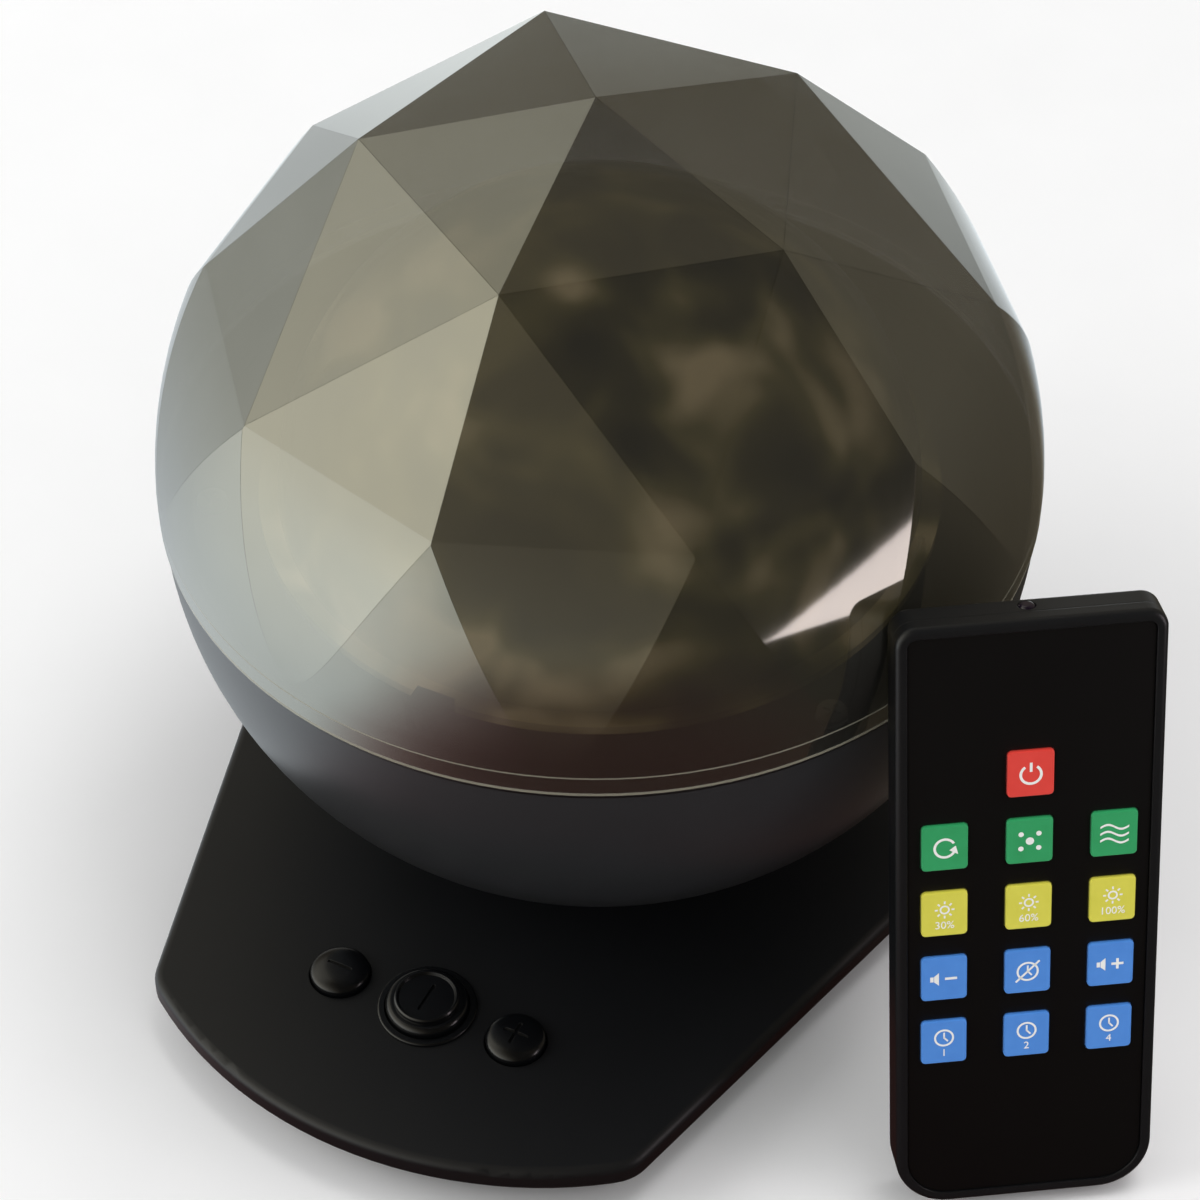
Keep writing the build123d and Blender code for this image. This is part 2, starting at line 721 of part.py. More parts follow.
# Clear lens dome that stands on the deck over the well
with BuildPart() as lens_dome:
    with BuildSketch(Plane.XZ):
        with BuildLine():
            CenterArc((0, deck_top), lens_radius, 0, 90)
            Line((0, deck_top + lens_radius), (0, deck_top + lens_radius - lens_wall))
            CenterArc((0, deck_top), lens_radius - lens_wall, 0, 90)
            Line((lens_radius - lens_wall, deck_top), (lens_radius, deck_top))
        make_face()
    revolve(axis=Axis.Z)
    with BuildSketch(Plane.XY.offset(deck_top)):
        Circle(lens_radius + lens_flange_width)
        Circle(lens_radius - lens_wall / 2, mode=Mode.SUBTRACT)
    extrude(amount=lens_flange_thickness)
lens_dome.part.label = "lens_dome"
export_step(lens_dome.part, "parts/lens_dome.step")

# Heat spreader and round light board on the floor of the well
with BuildPart() as heat_spreader:
    with BuildSketch(Plane.XY.offset(well_seat)):
        Circle(well_radius - spreader_fit)
        Circle(centre_hole_radius, mode=Mode.SUBTRACT)
    extrude(amount=spreader_thickness)
heat_spreader.part.label = "heat_spreader"
export_step(heat_spreader.part, "parts/heat_spreader.step")

with BuildPart() as light_board:
    with BuildSketch(Plane.XY.offset(light_board_bottom)):
        Circle(well_radius - spreader_fit)
        Circle(centre_hole_radius, mode=Mode.SUBTRACT)
    extrude(amount=board_thickness)
light_board.part.label = "light_board"
export_step(light_board.part, "parts/light_board.step")

with BuildPart(Plane.XY.offset(light_board_top)) as light_chips:
    with PolarLocations(light_circle_radius, light_count):
        Box(chip_width, chip_width, chip_height, align=standing)
light_chips.part.label = "light_chips"
export_step(light_chips.part, "parts/light_chips.step")

# Collimator over each light: a clear cone that stands round its chip
with BuildPart(Plane.XY.offset(light_board_top)) as collimators:
    with PolarLocations(light_circle_radius, light_count):
        Cone(collimator_foot_radius, collimator_top_radius, collimator_height, align=standing)
        Cylinder(collimator_recess_radius, collimator_recess_depth, align=standing, mode=Mode.SUBTRACT)
collimators.part.label = "collimators"
export_step(collimators.part, "parts/collimators.step")

# Gear motor under the well; its flange takes two screws from below
shaft_bottom = well_bottom - shaft_engagement
shaft_top = disc_top
with BuildPart() as motor:
    with BuildSketch(Plane.XY.offset(well_bottom)):
        SlotOverall(motor_flange_length, motor_flange_width)
    extrude(amount=-motor_flange_thickness)
    with Locations((0, 0, well_bottom)):
        Cylinder(motor_radius, motor_length, align=hanging)
    with Locations((0, 0, well_bottom)):
        Cylinder(shaft_radius + shaft_run_fit, shaft_engagement, align=hanging, mode=Mode.SUBTRACT)
    with Locations((-motor_screw_reach, 0, well_bottom), (motor_screw_reach, 0, well_bottom)):
        Cylinder(small_screw_shank_radius + screw_hole_fit, motor_flange_thickness, align=hanging,
                 mode=Mode.SUBTRACT)
motor.part.label = "motor"
export_step(motor.part, "parts/motor.step")

motor_screws = screw_set(well_bottom - motor_flange_thickness - small_screw_head_height,
                         [(-motor_screw_reach, 0), (motor_screw_reach, 0)], small_screw_head_radius,
                         small_screw_head_height, small_screw_shank_radius,
                         motor_flange_thickness + well_floor)
motor_screws.label = "motor_screws"
export_step(motor_screws, "parts/motor_screws.step")

with BuildPart(Plane.XY.offset(shaft_bottom)) as motor_shaft:
    Cylinder(shaft_radius, shaft_top - shaft_bottom, align=standing)
motor_shaft.part.label = "motor_shaft"
export_step(motor_shaft.part, "parts/motor_shaft.step")

# Rippled disc: round waves between the hub and the rim
wave_pitch = (disc_radius - disc_hub_radius) / ripple_count
with BuildPart() as ripple_disc:
    with BuildSketch(Plane.XZ):
        with BuildLine():
            for wave in range(ripple_count):
                start = disc_hub_radius + wave * wave_pitch
                ThreePointArc((start, disc_top), (start + wave_pitch / 2, disc_top + ripple_height),
                              (start + wave_pitch, disc_top))
            Polyline((disc_radius, disc_top), (disc_radius, disc_bottom), (disc_hub_radius, disc_bottom),
                     (disc_hub_radius, disc_bottom - disc_hub_drop),
                     (shaft_radius, disc_bottom - disc_hub_drop), (shaft_radius, disc_top),
                     (disc_hub_radius, disc_top))
        make_face()
    revolve(axis=Axis.Z)
ripple_disc.part.label = "ripple_disc"
export_step(ripple_disc.part, "parts/ripple_disc.step")

# Infrared receiver on the deck, at the front between the lens dome and the skirt
receiver_reach = lens_radius + lens_flange_width + receiver_gap + receiver_depth / 2
with BuildPart(Plane.XY.offset(deck_top)) as infrared_receiver:
    with Locations((0, -receiver_reach)):
        Box(receiver_width, receiver_depth, receiver_height, align=standing)
    with Locations((0, -receiver_reach - receiver_depth / 2, receiver_height / 2)):
        Sphere(receiver_eye_radius)
infrared_receiver.part.label = "infrared_receiver"
export_step(infrared_receiver.part, "parts/infrared_receiver.step")

# Buttons: each has a nib over its switch, a flange under the roof and a shaped top
flange_top = inner_roof - button_flange_gap
flange_bottom = flange_top - button_flange_thickness
nib_bottom = flange_bottom - button_nib_length


def stem_points(radius, shoulder):
    """Half section of a button from its axis to its shoulder above the plate."""
    flange_radius = radius + button_fit + button_flange_width
    return [(0, nib_bottom), (button_nib_radius, nib_bottom), (button_nib_radius, flange_bottom),
            (flange_radius, flange_bottom), (flange_radius, flange_top), (radius, flange_top),
            (radius, plate + shoulder)]


# Volume buttons: low domes with a minus and a plus sunk into them
side_top = plate + side_button_rise
for name, spot, marks in (("minus_button", button_spots[0], (0,)), ("plus_button", button_spots[2], (0, 90))):
    section = Plane(origin=(spot[0], spot[1], 0), x_dir=(1, 0, 0), z_dir=(0, -1, 0))
    with BuildPart() as side_button:
        with BuildSketch(section):
            with BuildLine():
                Polyline(stem_points(side_button_radius, side_button_shoulder))
                EllipticalCenterArc((0, plate + side_button_shoulder), side_button_radius,
                                    side_button_rise - side_button_shoulder, 0, arc_size=90)
                Line((0, side_top), (0, nib_bottom))
            make_face()
        revolve(axis=Axis((spot[0], spot[1], 0), (0, 0, 1)))
        with BuildSketch(Plane(origin=(spot[0], spot[1], side_top - mark_depth))):
            for angle in marks:
                SlotOverall(mark_length, mark_width, rotation=angle)
        extrude(amount=mark_depth + overrun, mode=Mode.SUBTRACT)
    side_button.part.label = name
    export_step(side_button.part, f"parts/{name}.step")

# Power button: a rounded step with a rimmed crown, and a bar sunk into the crown
power_spot = button_spots[1]
crown_top = plate + power_crown_rise
step_top = plate + power_button_shoulder + power_button_round
rim_inner = power_crown_radius - power_crown_rim
dish = crown_top - power_crown_dish
section = Plane(origin=(power_spot[0], power_spot[1], 0), x_dir=(1, 0, 0), z_dir=(0, -1, 0))
with BuildPart() as power_button:
    with BuildSketch(section):
        with BuildLine():
            Polyline(stem_points(power_button_radius, power_button_shoulder))
            CenterArc((power_button_radius - power_button_round, plate + power_button_shoulder),
                      power_button_round, 0, 90)
            Polyline((power_button_radius - power_button_round, step_top), (power_crown_radius, step_top),
                     (power_crown_radius, crown_top - power_crown_bevel),
                     (power_crown_radius - power_crown_bevel, crown_top),
                     (rim_inner + power_crown_bevel, crown_top), (rim_inner, dish), (0, dish),
                     (0, nib_bottom))
        make_face()
    revolve(axis=Axis((power_spot[0], power_spot[1], 0), (0, 0, 1)))
    with BuildSketch(Plane(origin=(power_spot[0], power_spot[1], dish - mark_depth))):
        SlotOverall(power_mark_length, mark_width, rotation=90)
    extrude(amount=mark_depth + overrun, mode=Mode.SUBTRACT)
power_button.part.label = "power_button"
export_step(power_button.part, "parts/power_button.step")

with BuildPart(Plane(origin=(power_spot[0], power_spot[1], inner_roof))) as power_collar:
    Cylinder(collar_neck_radius, base_roof, align=standing)
    with Locations((0, 0, base_roof)):
        Cylinder(power_hole_radius + power_collar_width, power_collar_rise, align=standing)
    fillet(power_collar.edges().group_by(Axis.Z)[-1], power_collar_rise / 2)
    Cylinder(power_hole_radius, base_roof + power_collar_rise, align=standing, mode=Mode.SUBTRACT)
power_collar.part.label = "power_collar"
export_step(power_collar.part, "parts/power_collar.step")

# Button board on its rests, with one switch under each button
with BuildPart() as button_board:
    with BuildSketch(Plane.XY.offset(board_bottom)):
        with Locations((0, -button_row_y)):
            Rectangle(button_board_length, button_board_width)
        with Locations(button_board_screw_spots):
            Circle(small_screw_shank_radius + screw_hole_fit, mode=Mode.SUBTRACT)
    extrude(amount=board_thickness)
button_board.part.label = "button_board"
export_step(button_board.part, "parts/button_board.step")

with BuildPart(Plane.XY.offset(board_top)) as tact_switches:
    with Locations(button_spots):
        Box(switch_width, switch_width, switch_height, align=standing)
        Cylinder(switch_dome_radius, switch_height + switch_dome_height, align=standing)
tact_switches.part.label = "tact_switches"
export_step(tact_switches.part, "parts/tact_switches.step")

board_screws = screw_set(board_top, board_screw_spots, small_screw_head_radius, small_screw_head_height,
                         small_screw_shank_radius, board_thickness + board_screw_grip - board_screw_end_gap,
                         head_up=True)
board_screws.label = "board_screws"
export_step(board_screws, "parts/board_screws.step")

# Main board at the back, with its controller and capacitors
main_board_width = main_board_back - main_board_front
part_row_y = (main_board_front + main_board_back) / 2
with BuildPart() as main_board:
    with BuildSketch(Plane.XY.offset(board_bottom)):
        with Locations((0, main_board_front)):
            Rectangle(main_board_length, main_board_width, align=(Align.CENTER, Align.MIN))
        with Locations(main_board_screw_spots):
            Circle(small_screw_shank_radius + screw_hole_fit, mode=Mode.SUBTRACT)
    extrude(amount=board_thickness)
main_board.part.label = "main_board"
export_step(main_board.part, "parts/main_board.step")

with BuildPart(Plane.XY.offset(board_top)) as controller_chip:
    with Locations((controller_x, part_row_y)):
        Box(controller_size, controller_size, controller_height, align=standing)
controller_chip.part.label = "controller_chip"
export_step(controller_chip.part, "parts/controller_chip.step")

with BuildPart(Plane.XY.offset(board_top)) as capacitors:
    with Locations((capacitor_x - capacitor_pitch / 2, part_row_y),
                   (capacitor_x + capacitor_pitch / 2, part_row_y)):
        Cylinder(capacitor_radius, capacitor_height, align=standing)
capacitors.part.label = "capacitors"
export_step(capacitors.part, "parts/capacitors.step")

# Sockets in the flat at the back: one for the power lead, one for a sound lead
for name, x, depth, pin in (("power_inlet", -socket_x, inlet_depth, inlet_pin_radius),
                            ("audio_socket", socket_x, socket_length + base_wall, 0)):
    mouth = Plane(origin=(x, socket_flat_reach, socket_axis), x_dir=(1, 0, 0), z_dir=(0, 1, 0))
    with BuildPart(mouth) as socket:
        with Locations((0, 0, -base_wall)):
            Box(socket_body_width, socket_body_height, socket_length, align=hanging)
        Cylinder(socket_nose_radius, base_wall, align=hanging)
        Cylinder(socket_bore_radius, depth, align=hanging, mode=Mode.SUBTRACT)
        if pin:
            with Locations((0, 0, -depth)):
                Cylinder(pin, depth - base_wall / 2, align=standing)
    socket.part.label = name
    export_step(socket.part, f"parts/{name}.step")

# Speaker: a frame that stands on the floor, a paper cone inside it and a magnet on top
flange_inner = speaker_radius - speaker_flange_width
flange_level = inner_floor + speaker_flange_thickness
neck_level = flange_level + speaker_cone_height
with BuildPart() as speaker_frame:
    with BuildSketch(Plane.XZ):
        with BuildLine():
            Polyline((flange_inner, inner_floor), (speaker_radius, inner_floor),
                     (speaker_radius, flange_level), (speaker_neck_radius, neck_level), (0, neck_level),
                     (0, neck_level - speaker_sheet),
                     (speaker_neck_radius - speaker_sheet, neck_level - speaker_sheet),
                     (flange_inner, flange_level), close=True)
        make_face()
    revolve(axis=Axis.Z)
speaker_frame.part.label = "speaker_frame"
export_step(speaker_frame.part, "parts/speaker_frame.step")

paper = speaker_sheet / 2
cone_seat = inner_floor + speaker_sheet
cap_level = neck_level - speaker_cap_drop
with BuildPart() as speaker_cone:
    with BuildSketch(Plane.XZ):
        with BuildLine():
            Polyline((flange_inner, cone_seat), (flange_inner, cone_seat + paper),
                     (flange_inner - speaker_flange_width / 2, cone_seat + paper),
                     (speaker_cap_radius, cap_level), (0, cap_level), (0, cap_level - paper),
                     (speaker_cap_radius - paper, cap_level - paper),
                     (flange_inner - speaker_flange_width / 2 - paper, cone_seat), close=True)
        make_face()
    revolve(axis=Axis.Z)
speaker_cone.part.label = "speaker_cone"
export_step(speaker_cone.part, "parts/speaker_cone.step")

with BuildPart(Plane.XY.offset(neck_level)) as speaker_magnet:
    Cylinder(magnet_radius, magnet_height, align=standing)
    fillet(speaker_magnet.edges().group_by(Axis.Z)[-1], speaker_sheet)
speaker_magnet.part.label = "speaker_magnet"
export_step(speaker_magnet.part, "parts/speaker_magnet.step")

# Remote control: its foot stands on the surface and its back's left edge lies against the ball
face_angle = radians(remote_face_azimuth)
lean = radians(remote_lean)
outward = Vector(cos(face_angle), sin(face_angle), 0)
sideways = Vector(-sin(face_angle), cos(face_angle), 0)
face_normal = outward * sin(lean) + Vector(0, 0, cos(lean))
edge_offset = facet_radius * remote_offset_share
plane_distance = sqrt((facet_radius + remote_gap)**2 - edge_offset**2)
foot_reach = (plane_distance + ball_centre * cos(lean)) / sin(lean)
remote_foot = outward * foot_reach + sideways * (edge_offset + remote_width / 2)
remote_plane = Plane(origin=remote_foot, x_dir=sideways, z_dir=face_normal)
remote_axis = Axis(remote_foot, face_normal)
remote_face_bottom = remote_thickness - remote_face_drop - remote_face_thickness
remote_board_bottom = remote_back_floor + coin_thickness + contact_strip_thickness
remote_board_top = remote_board_bottom + remote_board_thickness
key_flange_top = remote_face_bottom - key_flange_gap
key_top = remote_face_bottom + remote_face_thickness + key_rise


def remote_level(height, inset):
    """The remote's outline at a height above its back, drawn in by an inset."""
    with BuildSketch(remote_plane.offset(height)) as level:
        with Locations((0, inset)):
            Rectangle(remote_width - 2 * inset, remote_length - 2 * inset, align=(Align.CENTER, Align.MIN))
        fillet(level.vertices().group_by(Axis.Y)[0], remote_foot_corner - inset)
        fillet(level.vertices().group_by(Axis.Y)[-1], remote_top_corner - inset)
    return level.sketch


remote_outline = remote_level(0, 0)
back_pocket = remote_level(remote_back_floor, remote_wall)
door_low = coin_centre - coin_radius - coin_fit - door_margin
door_middle = door_low + door_length / 2
door_screw_y = door_low + door_length - door_bar_width / 2
post_x = remote_width / 2 - remote_post_inset
post_spots = [(side * post_x, y) for side in (-1, 1)
              for y in (remote_foot_corner, coin_centre, remote_length - 2 * remote_foot_corner)]
with BuildPart() as remote_back_case:
    extrude(remote_outline, amount=remote_back_height)
    fillet(remote_back_case.faces().sort_by(remote_axis)[0].edges(), remote_edge_radius)
    extrude(back_pocket, amount=remote_back_height, mode=Mode.SUBTRACT)
    with BuildSketch(remote_plane.offset(remote_back_floor)):
        with Locations(post_spots):
            Circle(remote_post_radius)
    extrude(amount=remote_board_bottom - remote_back_floor)
    with BuildSketch(remote_plane):
        with Locations((0, door_middle)):
            RectangleRounded(door_width + 2 * door_fit, door_length + 2 * door_fit, door_corner)
    extrude(amount=remote_back_floor, mode=Mode.SUBTRACT)
    # Bar across the battery opening that takes the door's screw
    with BuildSketch(remote_plane.offset(remote_back_floor)):
        with Locations((0, door_screw_y)):
            Rectangle(door_width + 2 * door_bar_seat, door_bar_width)
    extrude(amount=door_bar_height)
    with BuildSketch(remote_plane.offset(remote_back_floor)):
        with Locations((0, door_screw_y)):
            Circle(small_screw_shank_radius + screw_hole_fit / 2)
    extrude(amount=door_screw_grip, mode=Mode.SUBTRACT)
    # Hole in the top wall for the infrared lamp
    with BuildSketch(Plane(origin=remote_plane.from_local_coords((0, remote_length, remote_lamp_height)),
                           z_dir=remote_plane.y_dir)):
        Circle(remote_lamp_radius + remote_lamp_fit)
    extrude(amount=-remote_lamp_length, mode=Mode.SUBTRACT)
remote_back_case.part.label = "remote_back_case"
export_step(remote_back_case.part, "parts/remote_back_case.step")

front_outline = remote_level(remote_back_height, 0)
front_pocket = remote_level(remote_back_height, remote_wall)
front_window = remote_level(remote_back_height, remote_rim_width + remote_ledge_width)
face_pocket = remote_level(remote_face_bottom, remote_rim_width)
with BuildPart() as remote_front_case:
    extrude(front_outline, amount=remote_thickness - remote_back_height)
    fillet(remote_front_case.faces().sort_by(remote_axis)[-1].edges(), remote_edge_radius)
    extrude(front_pocket, amount=remote_face_bottom - remote_ledge_thickness - remote_back_height,
            mode=Mode.SUBTRACT)
    extrude(front_window, amount=remote_thickness - remote_back_height, mode=Mode.SUBTRACT)
    extrude(face_pocket, amount=remote_thickness - remote_face_bottom, mode=Mode.SUBTRACT)
remote_front_case.part.label = "remote_front_case"
export_step(remote_front_case.part, "parts/remote_front_case.step")

# Keys, each named, with its column and its row
keys = (
    ("key_one_hour", -1, 0), ("key_two_hours", 0, 0), ("key_four_hours", 1, 0),
    ("key_volume_down", -1, 1), ("key_timer_off", 0, 1), ("key_volume_up", 1, 1),
    ("key_light_low", -1, 2), ("key_light_medium", 0, 2), ("key_light_full", 1, 2),
    ("key_rotate", -1, 3), ("key_pattern", 0, 3), ("key_aurora", 1, 3),
    ("key_power", 0, 4),
)
key_spots = [(column * key_pitch_across, lowest_key_height + row * key_pitch_up)
             for name, column, row in keys]

remote_face_outline = remote_level(remote_face_bottom, remote_rim_width + remote_face_fit)
with BuildPart() as remote_face:
    extrude(remote_face_outline, amount=remote_face_thickness)
    with BuildSketch(remote_plane.offset(remote_face_bottom)):
        with Locations(key_spots):
            RectangleRounded(key_width + 2 * key_fit, key_length + 2 * key_fit, key_corner + key_fit)
    extrude(amount=remote_face_thickness, mode=Mode.SUBTRACT)
remote_face.part.label = "remote_face"
export_step(remote_face.part, "parts/remote_face.step")

for (name, column, row), spot in zip(keys, key_spots):
    with BuildPart() as key:
        with BuildSketch(remote_plane.offset(key_flange_top - key_flange_thickness)):
            with Locations(spot):
                RectangleRounded(key_width, key_length, key_corner)
        extrude(amount=key_top - key_flange_top + key_flange_thickness)
        fillet(key.faces().sort_by(remote_axis)[-1].edges(), key_edge)
        with BuildSketch(remote_plane.offset(key_flange_top)):
            with Locations(spot):
                RectangleRounded(key_width + 2 * key_flange_width, key_length + 2 * key_flange_width,
                                 key_corner)
        extrude(amount=-key_flange_thickness)
    key.part.label = name
    export_step(key.part, f"parts/{name}.step")

# Board of the remote, with a snap dome under each key
remote_board_outline = remote_level(remote_board_bottom, remote_wall + remote_board_fit)
with BuildPart() as remote_board:
    extrude(remote_board_outline, amount=remote_board_thickness)
remote_board.part.label = "remote_board"
export_step(remote_board.part, "parts/remote_board.step")

with BuildPart() as contact_domes:
    with BuildSketch(remote_plane.offset(remote_board_top)):
        with Locations(key_spots):
            Circle(contact_dome_radius)
    extrude(amount=contact_dome_height)
contact_domes.part.label = "contact_domes"
export_step(contact_domes.part, "parts/contact_domes.step")

lamp_tip = remote_plane.from_local_coords((0, remote_length + remote_lamp_rise, remote_lamp_height))
lamp_plane = Plane(origin=lamp_tip, z_dir=remote_plane.y_dir)
lamp_axis = Axis(lamp_plane.origin, lamp_plane.z_dir)
with BuildPart(lamp_plane) as remote_lamp:
    Cylinder(remote_lamp_radius, remote_lamp_length, align=hanging)
    fillet(remote_lamp.faces().sort_by(lamp_axis)[-1].edges(), remote_lamp_radius / 2)
remote_lamp.part.label = "remote_lamp"
export_step(remote_lamp.part, "parts/remote_lamp.step")

# Coin cell on its door, under two contact strips
with BuildPart() as coin_cell:
    with BuildSketch(remote_plane.offset(remote_back_floor)):
        with Locations((0, coin_centre)):
            Circle(coin_radius)
    extrude(amount=coin_thickness)
coin_cell.part.label = "coin_cell"
export_step(coin_cell.part, "parts/coin_cell.step")

with BuildPart() as contact_strips:
    with BuildSketch(remote_plane.offset(remote_board_bottom)):
        with Locations((-contact_strip_pitch / 2, coin_centre), (contact_strip_pitch / 2, coin_centre)):
            Rectangle(contact_strip_width, contact_strip_length)
    extrude(amount=-contact_strip_thickness)
contact_strips.part.label = "contact_strips"
export_step(contact_strips.part, "parts/contact_strips.step")

with BuildPart() as battery_door:
    with BuildSketch(remote_plane):
        with Locations((0, door_middle)):
            RectangleRounded(door_width, door_length, door_corner)
    extrude(amount=remote_back_floor)
    with BuildSketch(remote_plane):
        with Locations((0, door_screw_y)):
            Circle(small_screw_shank_radius + screw_hole_fit)
    extrude(amount=remote_back_floor, mode=Mode.SUBTRACT)
    with BuildSketch(remote_plane):
        with Locations((0, door_screw_y)):
            Circle(small_screw_head_radius + screw_hole_fit)
    extrude(amount=remote_back_floor / 2, mode=Mode.SUBTRACT)
battery_door.part.label = "battery_door"
export_step(battery_door.part, "parts/battery_door.step")

with BuildPart() as battery_screw:
    with BuildSketch(remote_plane.offset(remote_back_floor / 2)):
        with Locations((0, door_screw_y)):
            Circle(small_screw_head_radius)
    extrude(amount=-remote_back_floor / 2)
    with BuildSketch(remote_plane):
        with Locations((0, door_screw_y)):
            Rectangle(small_screw_head_radius, recess_width)
            Rectangle(recess_width, small_screw_head_radius)
    extrude(amount=remote_back_floor * recess_depth_share / 2, mode=Mode.SUBTRACT)
    with BuildSketch(remote_plane.offset(remote_back_floor / 2)):
        with Locations((0, door_screw_y)):
            Circle(small_screw_shank_radius)
    extrude(amount=remote_back_floor / 2 + door_screw_grip - screw_hole_fit)
battery_screw.part.label = "battery_screw"
export_step(battery_screw.part, "parts/battery_screw.step")
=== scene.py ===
# %% [markdown]
# # Night light projector with its remote control
# The object is a ball on a flat base. A smoky faceted cover closes the ball's upper half, and a
# slim remote control leans against it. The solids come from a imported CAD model, so every place and
# size is already true. This notebook gives each piece the finish of the real material, adds the
# printed signs of the keys, and sets up a small studio.

import json
from math import ceil, cos, pi, radians, sin

import bmesh
import bpy
from mathutils import Matrix, Quaternion, Vector


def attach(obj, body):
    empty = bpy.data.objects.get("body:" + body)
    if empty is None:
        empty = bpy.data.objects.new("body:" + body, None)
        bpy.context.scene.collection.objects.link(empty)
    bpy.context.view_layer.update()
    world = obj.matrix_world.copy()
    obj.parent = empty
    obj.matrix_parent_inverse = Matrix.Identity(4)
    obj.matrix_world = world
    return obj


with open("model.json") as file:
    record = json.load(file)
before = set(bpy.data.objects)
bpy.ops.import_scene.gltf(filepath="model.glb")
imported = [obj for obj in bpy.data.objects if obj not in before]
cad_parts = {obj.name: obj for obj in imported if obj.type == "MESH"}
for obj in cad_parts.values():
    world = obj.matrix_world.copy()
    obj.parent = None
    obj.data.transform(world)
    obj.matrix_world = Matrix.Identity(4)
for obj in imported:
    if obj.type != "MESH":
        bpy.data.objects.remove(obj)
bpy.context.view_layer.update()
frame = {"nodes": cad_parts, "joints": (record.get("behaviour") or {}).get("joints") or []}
mm = 0.001

# %% [markdown]
# ## Small helpers
# A colour picked on a screen is an sRGB code, while the renderer adds light in linear numbers, so
# the first function turns the one into the other. The second adds a shader node with its settings
# and links. Sums, dot products, blends and changes of range come up so often that each has a short
# function of its own. The last one starts a material from the principled shader, which covers
# plastics, metals and rubber alike.

# %% Colours and shader nodes
def linear(code):
    """Linear colour of an sRGB hex code."""

    def channel(share):
        return share / 12.92 if share <= 0.04045 else ((share + 0.055) / 1.055) ** 2.4

    return (*[channel(int(code[at:at + 2], 16) / 255) for at in (1, 3, 5)], 1.0)


def add_node(tree, kind, inputs=None, **settings):
    """New node; an input is either a value or another node's output."""
    node = tree.nodes.new(kind)
    for name, value in settings.items():
        setattr(node, name, value)
    for name, value in (inputs or {}).items():
        if isinstance(value, bpy.types.NodeSocket):
            tree.links.new(value, node.inputs[name])
        else:
            node.inputs[name].default_value = value
    return node


def calc(tree, operation, first, second):
    """Output of one sum on two numbers or sockets."""
    return add_node(tree, "ShaderNodeMath", {0: first, 1: second},
                    operation=operation).outputs["Value"]


def dot(tree, first, second):
    """Output of the dot product of two directions or sockets."""
    return add_node(tree, "ShaderNodeVectorMath", {0: first, 1: second},
                    operation="DOT_PRODUCT").outputs["Value"]


def blend(tree, factor, first, second, kind="RGBA"):
    """Output of a blend of two colours, or of two numbers where the kind is FLOAT."""
    return add_node(tree, "ShaderNodeMix", {"Factor": factor, "A": first, "B": second},
                    data_type=kind).outputs["Result"]


def remap(tree, value, given=(0.0, 1.0), wanted=(0.0, 1.0), curve="LINEAR"):
    """Output of a value carried from one range to another and held at its ends."""
    return add_node(tree, "ShaderNodeMapRange",
                    {"Value": value, "From Min": given[0], "From Max": given[1],
                     "To Min": wanted[0], "To Max": wanted[1]},
                    interpolation_type=curve).outputs["Result"]


def start_material(name, colour, roughness, **more):
    """Principled material; its other sockets are given with underscores for spaces."""
    made = bpy.data.materials.new(name)
    made.use_nodes = True
    shader = made.node_tree.nodes["Principled BSDF"]
    shader.inputs["Base Color"].default_value = linear(colour)
    shader.inputs["Roughness"].default_value = roughness
    for socket, value in more.items():
        shader.inputs[socket.replace("_", " ")].default_value = value
    return made, shader


# %% [markdown]
# ## The camera
# The photograph was taken from the front right, about 45 degrees above the table, with a long lens.
# The place, the lens and the slight roll were worked out from the corners of the facets. The
# picture is square.

# %% Camera
eye = Vector((179.4, -363.0, 455.5)) * mm
aim = Vector((0, 0, 44.5)) * mm
lens_length = 107.63
sensor_width = 36.0
frame_shift = (-0.0011, -0.0018)
roll = radians(-0.627)

forward = (aim - eye).normalized()
level = forward.cross(Vector((0, 0, 1))).normalized()
above = level.cross(forward)
across = level * cos(roll) + above * sin(roll)
upward = above * cos(roll) - level * sin(roll)
camera_data = bpy.data.cameras.new("photo_camera")
camera_data.lens = lens_length
camera_data.sensor_width = sensor_width
camera_data.shift_x, camera_data.shift_y = frame_shift
camera = bpy.data.objects.new("photo_camera", camera_data)
turned_to_aim = Matrix((across, upward, -forward)).transposed().to_4x4()
camera.matrix_world = Matrix.Translation(eye) @ turned_to_aim
bpy.context.scene.collection.objects.link(camera)
bpy.context.scene.camera = camera
bpy.context.scene.view_settings.view_transform = "Standard"
print("camera distance", round((aim - eye).length, 3))

# %% [markdown]
# ## The room that shiny surfaces see
# The cover is half a mirror, so the room is what makes its left facets pale and its right ones
# dark. In the photograph a bright wall stands to the left, pale cards lie behind, a dark red cloth
# lies in front, and the rest is dim. One function gives that brightness for any direction, and the
# sky and the table both use it for the rays that a shiny surface throws back. High up the room is
# warm, low down it is cool, and its dim parts are the warmest.

# %% Brightness of the room
def heading(azimuth, elevation):
    """Direction in the room. Azimuth 0 is in front of the buttons and 90 to their right."""
    turn, rise = radians(azimuth), radians(elevation)
    return Vector((sin(turn) * cos(rise), -cos(turn) * cos(rise), sin(rise)))


wall_side = heading(-52, -2)
wall_level, wall_spread, dim_level = 1.8, 2.2, 0.04
